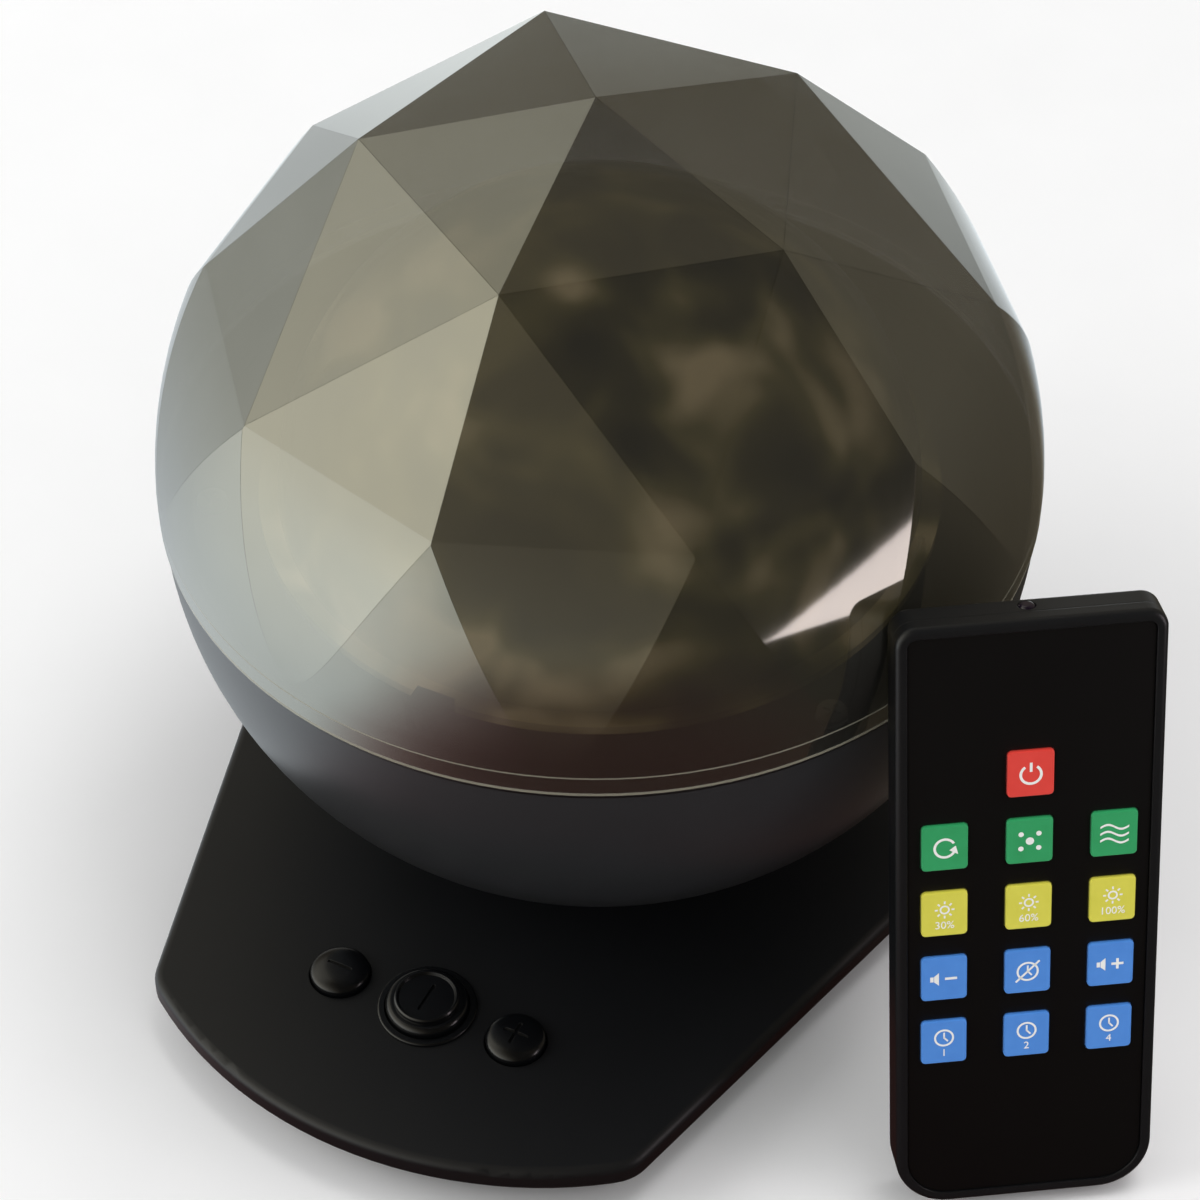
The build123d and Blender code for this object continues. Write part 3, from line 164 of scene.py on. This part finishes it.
# Each card has its direction, the dot products where it starts and is full, and its brightness
cards = (
    (heading(-138, -22), 0.80, 0.97, 0.60),
    (heading(-118, 50), 0.84, 0.99, 0.42),
    (heading(-165, -35), 0.77, 0.97, 1.0),
    (heading(165, 22), 0.25, 1.0, 0.15),
    (heading(100, -65), 0.85, 1.0, 0.16),
)
cloth_side = heading(28, -48)
cloth_start, cloth_full, cloth_share, cloth_level = 0.62, 0.93, 0.90, 0.09
cool_low, warm_high, warm_dim, cloth_red = "#E9F1F6", "#FAF5E4", "#F1DFBC", "#B4574E"
height_range = (-0.4, 0.5)
dim_range = (0.1, 0.45)


def room(tree, direction):
    """Strength and colour sockets of the room in a direction."""

    def patch(side, start, full, level):
        return remap(tree, dot(tree, direction, side), (start, full), (0.0, level), "SMOOTHSTEP")

    facing_wall = calc(tree, "MAXIMUM", dot(tree, direction, wall_side), 0.0)
    wall = calc(tree, "POWER", facing_wall, wall_spread)
    lit = calc(tree, "ADD", calc(tree, "MULTIPLY", wall, wall_level), dim_level)
    for card in cards:
        lit = calc(tree, "ADD", lit, patch(*card))
    cloth = patch(cloth_side, cloth_start, cloth_full, cloth_share)
    height = remap(tree, dot(tree, direction, Vector((0, 0, 1))), height_range)
    tint = blend(tree, height, linear(cool_low), linear(warm_high))
    shaded = blend(tree, remap(tree, lit, dim_range), linear(warm_dim), tint)
    stained = blend(tree, cloth, shaded, linear(cloth_red))
    left_over = calc(tree, "MULTIPLY", lit, calc(tree, "SUBTRACT", 1.0, cloth))
    strength = calc(tree, "ADD", left_over, calc(tree, "MULTIPLY", cloth, cloth_level))
    return strength, stained


# %% [markdown]
# ## Floor, background and lamps
# The object stands on a wide white table. The background is white too, because the world is white
# for the rays that start at the camera or pass through a clear surface. Two large soft boxes light
# the scene evenly. They don't show in shiny surfaces, because the room above already does. A small
# bright window near the table, to the right, makes the sharp wedge of light on the cover's right
# flank.

# %% Floor
floor_half = 4.0
speckle_scale = 40.0

floor_mesh = bpy.data.meshes.new("floor")
corner_signs = ((-1, -1), (1, -1), (1, 1), (-1, 1))
floor_corners = [(x * floor_half, y * floor_half, 0) for x, y in corner_signs]
floor_mesh.from_pydata(floor_corners, [], [(0, 1, 2, 3)])
floor = bpy.data.objects.new("floor", floor_mesh)
bpy.context.scene.collection.objects.link(floor)

ball_middle = Vector((0, 0, 78.0)) * mm
floor_finish, floor_shader = start_material("white_table_lacquer", "#F2F2F2", 0.7)
tree = floor_finish.node_tree
spot = add_node(tree, "ShaderNodeTexCoord").outputs["Object"]
speckle = add_node(tree, "ShaderNodeTexNoise",
                   {"Vector": spot, "Scale": speckle_scale, "Detail": 2.0})
tone = blend(tree, speckle.outputs["Fac"], linear("#F1F1F1"), linear("#F5F5F5"))
tree.links.new(tone, floor_shader.inputs["Base Color"])
from_ball = add_node(tree, "ShaderNodeVectorMath", {0: spot, 1: ball_middle}, operation="SUBTRACT")
toward_spot = add_node(tree, "ShaderNodeVectorMath", {0: from_ball.outputs["Vector"]},
                       operation="NORMALIZE")
strength, tint = room(tree, toward_spot.outputs["Vector"])
mirrored = add_node(tree, "ShaderNodeEmission", {"Color": tint, "Strength": strength})
is_glossy = add_node(tree, "ShaderNodeLightPath").outputs["Is Glossy Ray"]
floor_mix = add_node(tree, "ShaderNodeMixShader", {"Fac": is_glossy})
tree.links.new(floor_shader.outputs["BSDF"], floor_mix.inputs[1])
tree.links.new(mirrored.outputs["Emission"], floor_mix.inputs[2])
tree.links.new(floor_mix.outputs["Shader"], tree.nodes["Material Output"].inputs["Surface"])
floor_mesh.materials.append(floor_finish)

# %% World
white_level = 1.0
fill_level = 0.62

world = bpy.data.worlds.new("studio")
world.use_nodes = True
bpy.context.scene.world = world
tree = world.node_tree
tree.nodes.clear()
path = add_node(tree, "ShaderNodeLightPath").outputs
direction = add_node(tree, "ShaderNodeTexCoord").outputs["Generated"]
strength, tint = room(tree, direction)
seen = calc(tree, "MAXIMUM", path["Is Camera Ray"], path["Is Transmission Ray"])
plain = blend(tree, seen, fill_level, white_level, "FLOAT")
brightness = blend(tree, path["Is Glossy Ray"], plain, strength, "FLOAT")
colour = blend(tree, path["Is Glossy Ray"], linear("#FFFFFF"), tint)
sky = add_node(tree, "ShaderNodeBackground", {"Color": colour, "Strength": brightness})
add_node(tree, "ShaderNodeOutputWorld", {"Surface": sky.outputs["Background"]})


# %% Lamps
def soft_box(name, place, size, power, tint="#FFFFFF", tilt=0.0, shows=False):
    """Rectangular lamp that looks at the middle of the ball."""
    data = bpy.data.lights.new(name, "AREA")
    data.shape = "RECTANGLE"
    data.size, data.size_y = size
    data.energy = power
    data.color = linear(tint)[:3]
    lamp = bpy.data.objects.new(name, data)
    lamp.location = place
    lamp.rotation_mode = "QUATERNION"
    aimed = (ball_middle - place).to_track_quat("-Z", "Y")
    lamp.rotation_quaternion = aimed @ Quaternion((0, 0, 1), radians(tilt))
    lamp.visible_camera = False
    lamp.visible_glossy = shows
    bpy.context.scene.collection.objects.link(lamp)


soft_box("left_soft_box", ball_middle + heading(-62, 28) * 1.3, size=(0.9, 0.9), power=8.0)
soft_box("top_soft_box", ball_middle + heading(150, 72) * 1.6, size=(0.8, 0.8), power=9.0)
window_place = Vector((269.0, -23.0, 116.0)) * mm
soft_box("low_window", window_place, size=(60.0 * mm, 130.0 * mm), power=0.059, tint="#FFF1F7",
         tilt=-32.0, shows=True)

# %% [markdown]
# ## Surfaces
# Moulded plastic is never quite even. The mould's texture leaves a fine grain, so the next function
# bumps a surface with a noise whose grain has a size in millimetres. Sharp edges don't exist
# either: the Bevel node rounds the light on each edge by a real radius, without changing the CAD
# mesh. Another function paints light and shade along level lines: painted shade in the seam under
# the cover, and painted highlights along the cover's lip and band. A painted line of shade is enough
# at the seam, because the real gap is narrower than the light that it swallows.

# %% Grain and soft edges
edge_samples = 4
line_cover = 0.8


def surface(made, shader, grain_mm, depth_mm, edge_mm):
    """Gives a material a fine grain and softly lit edges, and returns the place socket."""
    tree = made.node_tree
    spot = add_node(tree, "ShaderNodeTexCoord").outputs["Object"]
    grain = add_node(tree, "ShaderNodeTexNoise",
                     {"Vector": spot, "Scale": 1 / (grain_mm * mm), "Detail": 2.0})
    bump = add_node(tree, "ShaderNodeBump",
                    {"Height": grain.outputs["Fac"], "Distance": depth_mm * mm})
    if edge_mm:
        edge = add_node(tree, "ShaderNodeBevel", {"Radius": edge_mm * mm}, samples=edge_samples)
        tree.links.new(edge.outputs["Normal"], bump.inputs["Normal"])
    tree.links.new(bump.outputs["Normal"], shader.inputs["Normal"])
    return spot


def patches(tree, spot, size_mm):
    """Output of soft patches of a size."""
    return add_node(tree, "ShaderNodeTexNoise",
                    {"Vector": spot, "Scale": 1 / (size_mm * mm), "Detail": 3.0}).outputs["Fac"]


def vary_colour(made, shader, spot, size_mm, first, second):
    """Blends two near colours over patches of a size, as moulding and handling leave them."""
    tree = made.node_tree
    tone = blend(tree, patches(tree, spot, size_mm), linear(first), linear(second))
    tree.links.new(tone, shader.inputs["Base Color"])


def vary_roughness(made, shader, spot, size_mm, least, most):
    """Blends two roughnesses over patches of a size."""
    tree = made.node_tree
    roughness = remap(tree, patches(tree, spot, size_mm), wanted=(least, most))
    tree.links.new(roughness, shader.inputs["Roughness"])


def level_lines(made, shader, lines, code):
    """Paints level lines over colour and metal; each has a height and a width in millimetres."""
    tree = made.node_tree
    place = add_node(tree, "ShaderNodeNewGeometry").outputs["Position"]
    height = add_node(tree, "ShaderNodeSeparateXYZ", {"Vector": place}).outputs["Z"]
    plain = shader.inputs["Base Color"].links[0].from_socket
    metal = shader.inputs["Metallic"].default_value
    has_metal = metal > 0
    for middle, width in lines:
        off = calc(tree, "ABSOLUTE", calc(tree, "SUBTRACT", height, middle * mm), 0.0)
        inside = remap(tree, off, (width * mm / 2, width * mm / 4), (0.0, line_cover))
        plain = blend(tree, inside, plain, linear(code))
        if has_metal:
            metal = calc(tree, "MULTIPLY", metal, calc(tree, "SUBTRACT", 1.0, inside))
    tree.links.new(plain, shader.inputs["Base Color"])
    if has_metal:
        tree.links.new(metal, shader.inputs["Metallic"])


def dress(made, *nodes):
    """Puts a material on CAD nodes."""
    for name in nodes:
        slots = frame["nodes"][name].data.materials
        slots.clear()
        slots.append(made)


# %% [markdown]
# ## Black plastics
# The bowl is ABS from a polished mould, satin to the eye. The base has a fine eroded texture that
# takes the shine off. The buttons are moulded in a smoother mould, and fingers keep them glossy.

# %% Satin, matte and gloss black ABS
seam_height = 73.7
# Painted shade: a near-black line on the bowl just under the cover, where the narrow seam swallows
# the light
seam_shadow_line = (seam_height - 0.55, 0.8)
satin_abs, shader = start_material("satin_black_abs", "#2A2B2D", 0.31, IOR=1.56)
spot = surface(satin_abs, shader, 0.9, 0.004, 0.25)
vary_colour(satin_abs, shader, spot, 30.0, "#27282A", "#2D2E30")
level_lines(satin_abs, shader, (seam_shadow_line,), "#020202")
vary_roughness(satin_abs, shader, spot, 22.0, 0.30, 0.38)
dress(satin_abs, "bowl")

matte_abs, shader = start_material("eroded_black_abs", "#0F1012", 0.46, IOR=1.6)
spot = surface(matte_abs, shader, 0.35, 0.012, 0.3)
vary_colour(matte_abs, shader, spot, 40.0, "#0C0D0F", "#121316")
vary_roughness(matte_abs, shader, spot, 18.0, 0.40, 0.50)
dress(matte_abs, "base_top_cover", "base_bottom_cover", "lamp_deck")

gloss_abs, shader = start_material("gloss_black_abs", "#08090B", 0.22, IOR=1.65)
spot = surface(gloss_abs, shader, 1.2, 0.003, 0.12)
vary_roughness(gloss_abs, shader, spot, 6.0, 0.18, 0.26)
dress(gloss_abs, "minus_button", "power_button", "plus_button", "power_collar")

# %% [markdown]
# ## Remote control's case
# The case is satin ABS again, but finer. Its face is a printed polyester film: black, even and
# almost without shine. The infrared lamp is a deep violet-black epoxy lens.

# %% Remote control
case_abs, shader = start_material("satin_black_abs_remote", "#141517", 0.33, IOR=1.55)
spot = surface(case_abs, shader, 0.7, 0.003, 0.35)
vary_roughness(case_abs, shader, spot, 12.0, 0.28, 0.38)
dress(case_abs, "remote_back_case", "remote_front_case", "battery_door")

film, shader = start_material("matte_black_polyester_film", "#040405", 0.46, IOR=1.5)
spot = surface(film, shader, 0.25, 0.004, 0.15)
vary_roughness(film, shader, spot, 20.0, 0.44, 0.52)
dress(film, "remote_face")

lamp_epoxy, shader = start_material("smoked_epoxy_lens", "#160E1C", 0.08, IOR=1.55, Coat_Weight=0.5)
surface(lamp_epoxy, shader, 1.0, 0.001, 0.1)
dress(lamp_epoxy, "remote_lamp", "infrared_receiver")

# %% [markdown]
# ## Keys
# The keys are dyed silicone rubber: saturated, soft at the edges, with a faint sheen and no hard
# highlight. Each row has its own colour.

# %% Silicone keys
key_colours = {
    "red": ("#E0362C", "#EA4438", ("key_power",)),
    "green": ("#239A58", "#2CA866", ("key_rotate", "key_pattern", "key_aurora")),
    "yellow": ("#D6D043", "#E2DC52", ("key_light_low", "key_light_medium", "key_light_full")),
    "blue": ("#4384D8", "#4F92E4", ("key_volume_down", "key_timer_off", "key_volume_up",
                                   "key_one_hour", "key_two_hours", "key_four_hours")),
}
for name, (first, second, nodes) in key_colours.items():
    silicone, shader = start_material(name + "_silicone_rubber", first, 0.42, IOR=1.41,
                                      Sheen_Weight=0.1)
    spot = surface(silicone, shader, 0.3, 0.006, 0.2)
    vary_colour(silicone, shader, spot, 3.0, first, second)
    dress(silicone, *nodes)

# %% [markdown]
# ## Signs on the keys
# The signs are silk-screened: a film of white ink a few hundredths of a millimetre thick. They are
# cut here as flat outlines and given that thickness, so they are real pieces that move with their
# keys. The remote control leans, so its own directions come from the joint along which it is picked
# up.

# %% Directions of the remote control
pick_up = next(joint for joint in frame["joints"] if joint["child"] == "remote")
remote_out = Vector(pick_up["axis"]).normalized()
remote_right = Vector((0, 0, 1)).cross(remote_out).normalized()
remote_up = remote_out.cross(remote_right)


def key_frame(node):
    """Matrix at the middle of a key's top face, with X to the right and Y up the remote control."""
    points = [vertex.co for vertex in frame["nodes"][node].data.vertices]

    def middle(direction):
        spread = [point.dot(direction) for point in points]
        return (min(spread) + max(spread)) / 2

    top = max(point.dot(remote_out) for point in points)
    place = remote_right * middle(remote_right) + remote_up * middle(remote_up) + remote_out * top
    leaning = Matrix((remote_right, remote_up, remote_out)).transposed().to_4x4()
    return Matrix.Translation(place) @ leaning


# %% Outlines of signs, in millimetres on the key
arc_step = 12.0
disc_corners = 15
wave_parts = 16
wave_stroke = 0.34


def turned(radius, angle, centre=(0.0, 0.0)):
    """Point at a radius and an angle from a centre."""
    return (centre[0] + radius * cos(radians(angle)), centre[1] + radius * sin(radians(angle)))


def ring(centre, radius, width, start=0.0, span=360.0):
    """Ring or part of one, as quads."""
    count = ceil(span / arc_step)
    angles = [start + span * at / count for at in range(count + 1)]
    inner, outer = radius - width / 2, radius + width / 2
    return [[turned(inner, a, centre), turned(outer, a, centre),
             turned(outer, b, centre), turned(inner, b, centre)]
            for a, b in zip(angles, angles[1:])]


def disc(centre, radius):
    """Round dot."""
    return [[turned(radius, 360.0 * at / disc_corners, centre) for at in range(disc_corners)]]


def bar(first, last, width):
    """Straight stroke with square ends."""
    along = (Vector(last) - Vector(first)).normalized()
    side = Vector((-along.y, along.x)) * width / 2
    return [[tuple(Vector(first) - side), tuple(Vector(last) - side), tuple(Vector(last) + side),
             tuple(Vector(first) + side)]]


def wave(height, length, swing):
    """Wavy stroke from left to right."""
    half = wave_stroke / 2
    xs = [length * (at / wave_parts - 0.5) for at in range(wave_parts + 1)]
    ys = [height + swing * sin(2 * pi * at / wave_parts) for at in range(wave_parts + 1)]
    places = list(zip(xs, ys))
    return [[(x, y - half), (next_x, next_y - half), (next_x, next_y + half), (x, y + half)]
            for (x, y), (next_x, next_y) in zip(places, places[1:])]


def sun(centre):
    """Ring with eight rays."""
    shapes = ring(centre, 0.62, 0.26)
    for ray in range(8):
        shapes += bar(turned(1.0, ray * 45, centre), turned(1.45, ray * 45, centre), 0.26)
    return shapes


def clock(centre, radius):
    """Ring with two hands."""
    x, y = centre
    return (ring(centre, radius, 0.3) + bar((x, y - 0.12), (x, y + radius * 0.68), 0.26)
            + bar((x - 0.05, y + 0.08), (x + radius * 0.42, y - radius * 0.46), 0.26))


def speaker(x):
    """Small loudspeaker that looks to the right."""
    return [[(x, -0.42), (x + 0.5, -0.42), (x + 0.5, 0.42), (x, 0.42)],
            [(x + 0.58, -0.45), (x + 1.3, -1.1), (x + 1.3, 1.1), (x + 0.58, 0.45)]]


# %% Signs and where they go
low_line = -2.45
raised = (0.0, 0.75)
arrow_tip = [[turned(0.75, 330), turned(2.25, 330), turned(1.62, 372)]]
signs = {
    "key_power": (ring((0, -0.1), 1.5, 0.4, 125, 290) + bar((0, 0.35), (0, 1.85), 0.4), ""),
    "key_rotate": (ring((0, 0), 1.5, 0.38, 30, 300) + arrow_tip, ""),
    "key_pattern": (disc((0, 0), 0.62) + disc((-1.3, 1.2), 0.4) + disc((1.3, 1.2), 0.4)
                    + disc((-1.3, -1.2), 0.4) + disc((1.3, -1.2), 0.4), ""),
    "key_aurora": (wave(1.15, 4.2, 0.42) + wave(0.0, 4.2, 0.42) + wave(-1.15, 4.2, 0.42), ""),
    "key_light_low": (sun(raised), "30%"),
    "key_light_medium": (sun(raised), "60%"),
    "key_light_full": (sun(raised), "100%"),
    "key_volume_down": (speaker(-2.1) + bar((0.1, 0), (1.9, 0), 0.4), ""),
    "key_timer_off": (clock((0, 0), 1.5) + bar((-1.75, -1.75), (1.75, 1.75), 0.3), ""),
    "key_volume_up": (speaker(-2.1) + bar((0.1, 0), (1.9, 0), 0.4)
                      + bar((1.0, 0.2), (1.0, 0.9), 0.4) + bar((1.0, -0.9), (1.0, -0.2), 0.4), ""),
    "key_one_hour": (clock(raised, 1.35), "1"),
    "key_two_hours": (clock(raised, 1.35), "2"),
    "key_four_hours": (clock(raised, 1.35), "4"),
}
figure_size = 1.75
ink_thickness = 0.035
weld_distance = 0.002

ink, ink_shader = start_material("white_screen_ink", "#F4F4F0", 0.45, IOR=1.5)
surface(ink, ink_shader, 0.15, 0.004, 0.02)


def figures(text):
    """Flat mesh of plain figures, centred, in millimetres."""
    curve = bpy.data.curves.new("figures", "FONT")
    curve.body = text
    curve.size = figure_size
    curve.align_x = "CENTER"
    holder = bpy.data.objects.new("figures", curve)
    mesh = bpy.data.meshes.new_from_object(holder)
    bpy.data.objects.remove(holder)
    bpy.data.curves.remove(curve)
    return mesh


def print_sign(node, shapes, text):
    """White ink on a key: outlines and figures, as thick as a film of ink."""
    flat = bmesh.new()
    for shape in shapes:
        flat.faces.new([flat.verts.new((x, y, 0)) for x, y in shape])
    bmesh.ops.remove_doubles(flat, verts=flat.verts, dist=weld_distance)
    if text:
        line = figures(text)
        line.transform(Matrix.Translation((0, low_line, 0)))
        flat.from_mesh(line)
        bpy.data.meshes.remove(line)
    for face in flat.faces:
        if face.normal.z < 0:
            face.normal_flip()
    raised_part = bmesh.ops.extrude_face_region(flat, geom=flat.faces[:])["geom"]
    top = [item for item in raised_part if isinstance(item, bmesh.types.BMVert)]
    bmesh.ops.translate(flat, verts=top, vec=(0, 0, ink_thickness))
    bmesh.ops.recalc_face_normals(flat, faces=flat.faces)
    bmesh.ops.scale(flat, verts=flat.verts, vec=(mm, mm, mm))
    bmesh.ops.transform(flat, verts=flat.verts, matrix=key_frame(node))
    mesh = bpy.data.meshes.new(node + "_sign")
    flat.to_mesh(mesh)
    flat.free()
    mesh.materials.append(ink)
    piece = bpy.data.objects.new(node + "_sign", mesh)
    bpy.context.scene.collection.objects.link(piece)
    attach(piece, node)


for node, (shapes, text) in signs.items():
    print_sign(node, shapes, text)
print("signs", len(signs))

# %% [markdown]
# ## The smoky faceted cover
# The cover is clear polycarbonate with a thin metal film on its outside, so it is half a mirror and
# half a window. A mirror's share is drawn by the shader, and the window's share by letting the ray
# straight through: the wall is even and thin, so it hardly bends the light. At a flat angle any
# such film reflects more, which the Layer Weight node gives. The inside of the wall has no film,
# only the faint shine of bare plastic. The film breaks at the sharp edges of the facets, which
# shows as hairlines. Pale lines along the lip and the top of the band are painted highlights.

# %% Smoked plated polycarbonate
bend_range = (0.0006, 0.005)


def fine_line(made, shader, width_mm, code):
    """Darkens a material along its sharp edges, where the rounded and the true normal differ."""
    tree = made.node_tree
    rounded = add_node(tree, "ShaderNodeBevel", {"Radius": width_mm * mm}, samples=edge_samples)
    true = add_node(tree, "ShaderNodeNewGeometry").outputs["Normal"]
    alike = dot(tree, rounded.outputs["Normal"], true)
    line = remap(tree, calc(tree, "SUBTRACT", 1.0, alike), bend_range)
    plain = shader.inputs["Base Color"].links[0].from_socket
    tree.links.new(blend(tree, line, plain, linear(code)), shader.inputs["Base Color"])


mirror_share = 0.84
edge_share = 0.98
bare_share = 0.05
metal_share = 0.96
film_blend = 0.35
edge_line_mm = 0.16
lip_highlight_line = (seam_height + 0.35, 0.7)
band_top_highlight_line = (77.4, 0.35)

plated, shader = start_material("smoked_plated_polycarbonate", "#9C9C94", 0.06,
                                Metallic=metal_share)
tree = plated.node_tree
spot = surface(plated, shader, 9.0, 0.010, 0.15)
vary_colour(plated, shader, spot, 22.0, "#96968E", "#A2A29A")
vary_roughness(plated, shader, spot, 14.0, 0.05, 0.08)
fine_line(plated, shader, edge_line_mm, "#3A3730")
# Painted highlights: pale, less metallic lines along the lip and the top of the band, where these
# edges catch the light
level_lines(plated, shader, (lip_highlight_line, band_top_highlight_line), "#938F7C")
rim = add_node(tree, "ShaderNodeLayerWeight", {"Blend": film_blend})
film_share = remap(tree, rim.outputs["Facing"], wanted=(mirror_share, edge_share))
here = add_node(tree, "ShaderNodeNewGeometry").outputs
from_middle = add_node(tree, "ShaderNodeVectorMath", {0: here["Position"], 1: ball_middle},
                       operation="SUBTRACT").outputs["Vector"]
turned_out = dot(tree, from_middle, here["True Normal"])
front = calc(tree, "SUBTRACT", 0.5, here["Backfacing"])
outside = calc(tree, "GREATER_THAN", calc(tree, "MULTIPLY", turned_out, front), 0.0)
share = blend(tree, outside, bare_share, film_share, "FLOAT")
tree.links.new(share, shader.inputs["Alpha"])
dress(plated, "dome_cover")

# %% [markdown]
# ## Inside the ball
# Little of the inside shows through the cover: warm, blurred spots. They come from the ripples of
# the clear lens dome, which gather the light and colour of what lies under it. A noise with a
# colour ramp paints that light into the lens's colour, and the same colours give it a painted glow,
# because so few rays find their way through the film and back.

# %% Lens dome, clear pieces and light chips
def light_blotches(made, shader, spot, size_mm, stops):
    """Paints light into a surface's colour and glow as soft blotches; stops are places from 0 to 1
    with their colours.
    """
    tree = made.node_tree
    cloud = add_node(tree, "ShaderNodeTexNoise",
                     {"Vector": spot, "Scale": 1 / (size_mm * mm), "Detail": 1.6,
                      "Distortion": 0.35})
    ramp = add_node(tree, "ShaderNodeValToRGB", {"Fac": cloud.outputs["Fac"]})
    elements = ramp.color_ramp.elements
    for at, code in stops:
        elements.new(at).color = linear(code)
    # The stops that a new ramp comes with, at its two ends
    elements.remove(elements[-1])
    elements.remove(elements[0])
    tree.links.new(ramp.outputs["Color"], shader.inputs["Base Color"])
    tree.links.new(ramp.outputs["Color"], shader.inputs["Emission Color"])


painted_light_stops = ((0.36, "#171409"), (0.47, "#474023"), (0.56, "#7B7044"), (0.68, "#D9C294"))
glow_facing = (0.25, 0.8)
glow_level = (0.58, 0.08)

lens, shader = start_material("rippled_lens_polycarbonate", "#8A7A55", 0.3, IOR=1.58, Alpha=0.96)
spot = surface(lens, shader, 9.0, 0.9, 0.0)
light_blotches(lens, shader, spot, 19.0, painted_light_stops)
tree = lens.node_tree
# Painted glow: the lens shines with its own blotch colours, strongest where it is seen face-on
rim = add_node(tree, "ShaderNodeLayerWeight", {"Blend": 0.5})
glow = remap(tree, rim.outputs["Facing"], glow_facing, glow_level)
tree.links.new(glow, shader.inputs["Emission Strength"])
dress(lens, "lens_dome")

clear, shader = start_material("clear_polycarbonate", "#D8CFB8", 0.16, IOR=1.58, Alpha=0.55)
surface(clear, shader, 9.0, 0.9, 0.0)
dress(clear, "ripple_disc", "collimators")

phosphor, shader = start_material("warm_phosphor", "#E9D27A", 0.5)
surface(phosphor, shader, 0.3, 0.01, 0.0)
dress(phosphor, "light_chips")

# %% [markdown]
# ## Metals, boards and the rest
# These pieces hide in the base, the ball and the remote control, and show only when they are taken
# apart. They still get the finish of their real material.

# %% Metals
zinc, shader = start_material("zinc_plated_steel", "#B9B7B0", 0.32, Metallic=1.0)
spot = surface(zinc, shader, 0.2, 0.004, 0.1)
vary_colour(zinc, shader, spot, 1.5, "#B2B0AA", "#C2C0B8")
dress(zinc, "base_screws", "bowl_screws", "deck_screws", "board_screws", "motor_screws",
      "battery_screw", "motor_shaft", "speaker_frame", "contact_domes", "motor", "coin_cell")

aluminium, shader = start_material("milled_aluminium", "#C9CACC", 0.30, Metallic=1.0)
spot = surface(aluminium, shader, 0.4, 0.003, 0.1)
vary_roughness(aluminium, shader, spot, 3.0, 0.25, 0.38)
dress(aluminium, "heat_spreader", "capacitors")

brass, shader = start_material("sprung_brass", "#C8A95A", 0.28, Metallic=1.0)
surface(brass, shader, 0.3, 0.003, 0.05)
dress(brass, "contact_strips")

# %% Boards, chips, paper, ferrite and rubber
mask, shader = start_material("green_solder_mask", "#0F5A2C", 0.30, IOR=1.5)
tree = mask.node_tree
spot = surface(mask, shader, 0.5, 0.004, 0.1)
tracks = add_node(tree, "ShaderNodeTexBrick",
                  {"Vector": spot, "Scale": 1 / (6 * mm), "Color1": linear("#0F5A2C"),
                   "Color2": linear("#125F30"), "Mortar": linear("#1F7A40"), "Mortar Size": 0.05})
tree.links.new(tracks.outputs["Color"], shader.inputs["Base Color"])
dress(mask, "light_board", "button_board", "main_board", "remote_board")

moulded, shader = start_material("moulded_epoxy", "#16161A", 0.55)
surface(moulded, shader, 0.12, 0.006, 0.1)
dress(moulded, "controller_chip", "tact_switches", "power_inlet", "audio_socket")

pulp, shader = start_material("pressed_paper_pulp", "#1C1B1A", 0.9)
surface(pulp, shader, 0.8, 0.08, 0.1)
dress(pulp, "speaker_cone")

ferrite, shader = start_material("coated_ferrite", "#2A2A2C", 0.6)
surface(ferrite, shader, 0.4, 0.02, 0.2)
dress(ferrite, "speaker_magnet")

rubber, shader = start_material("black_silicone_foot_rubber", "#1A1A1A", 0.75)
surface(rubber, shader, 0.4, 0.02, 0.2)
dress(rubber, "foot_strip", "front_feet")
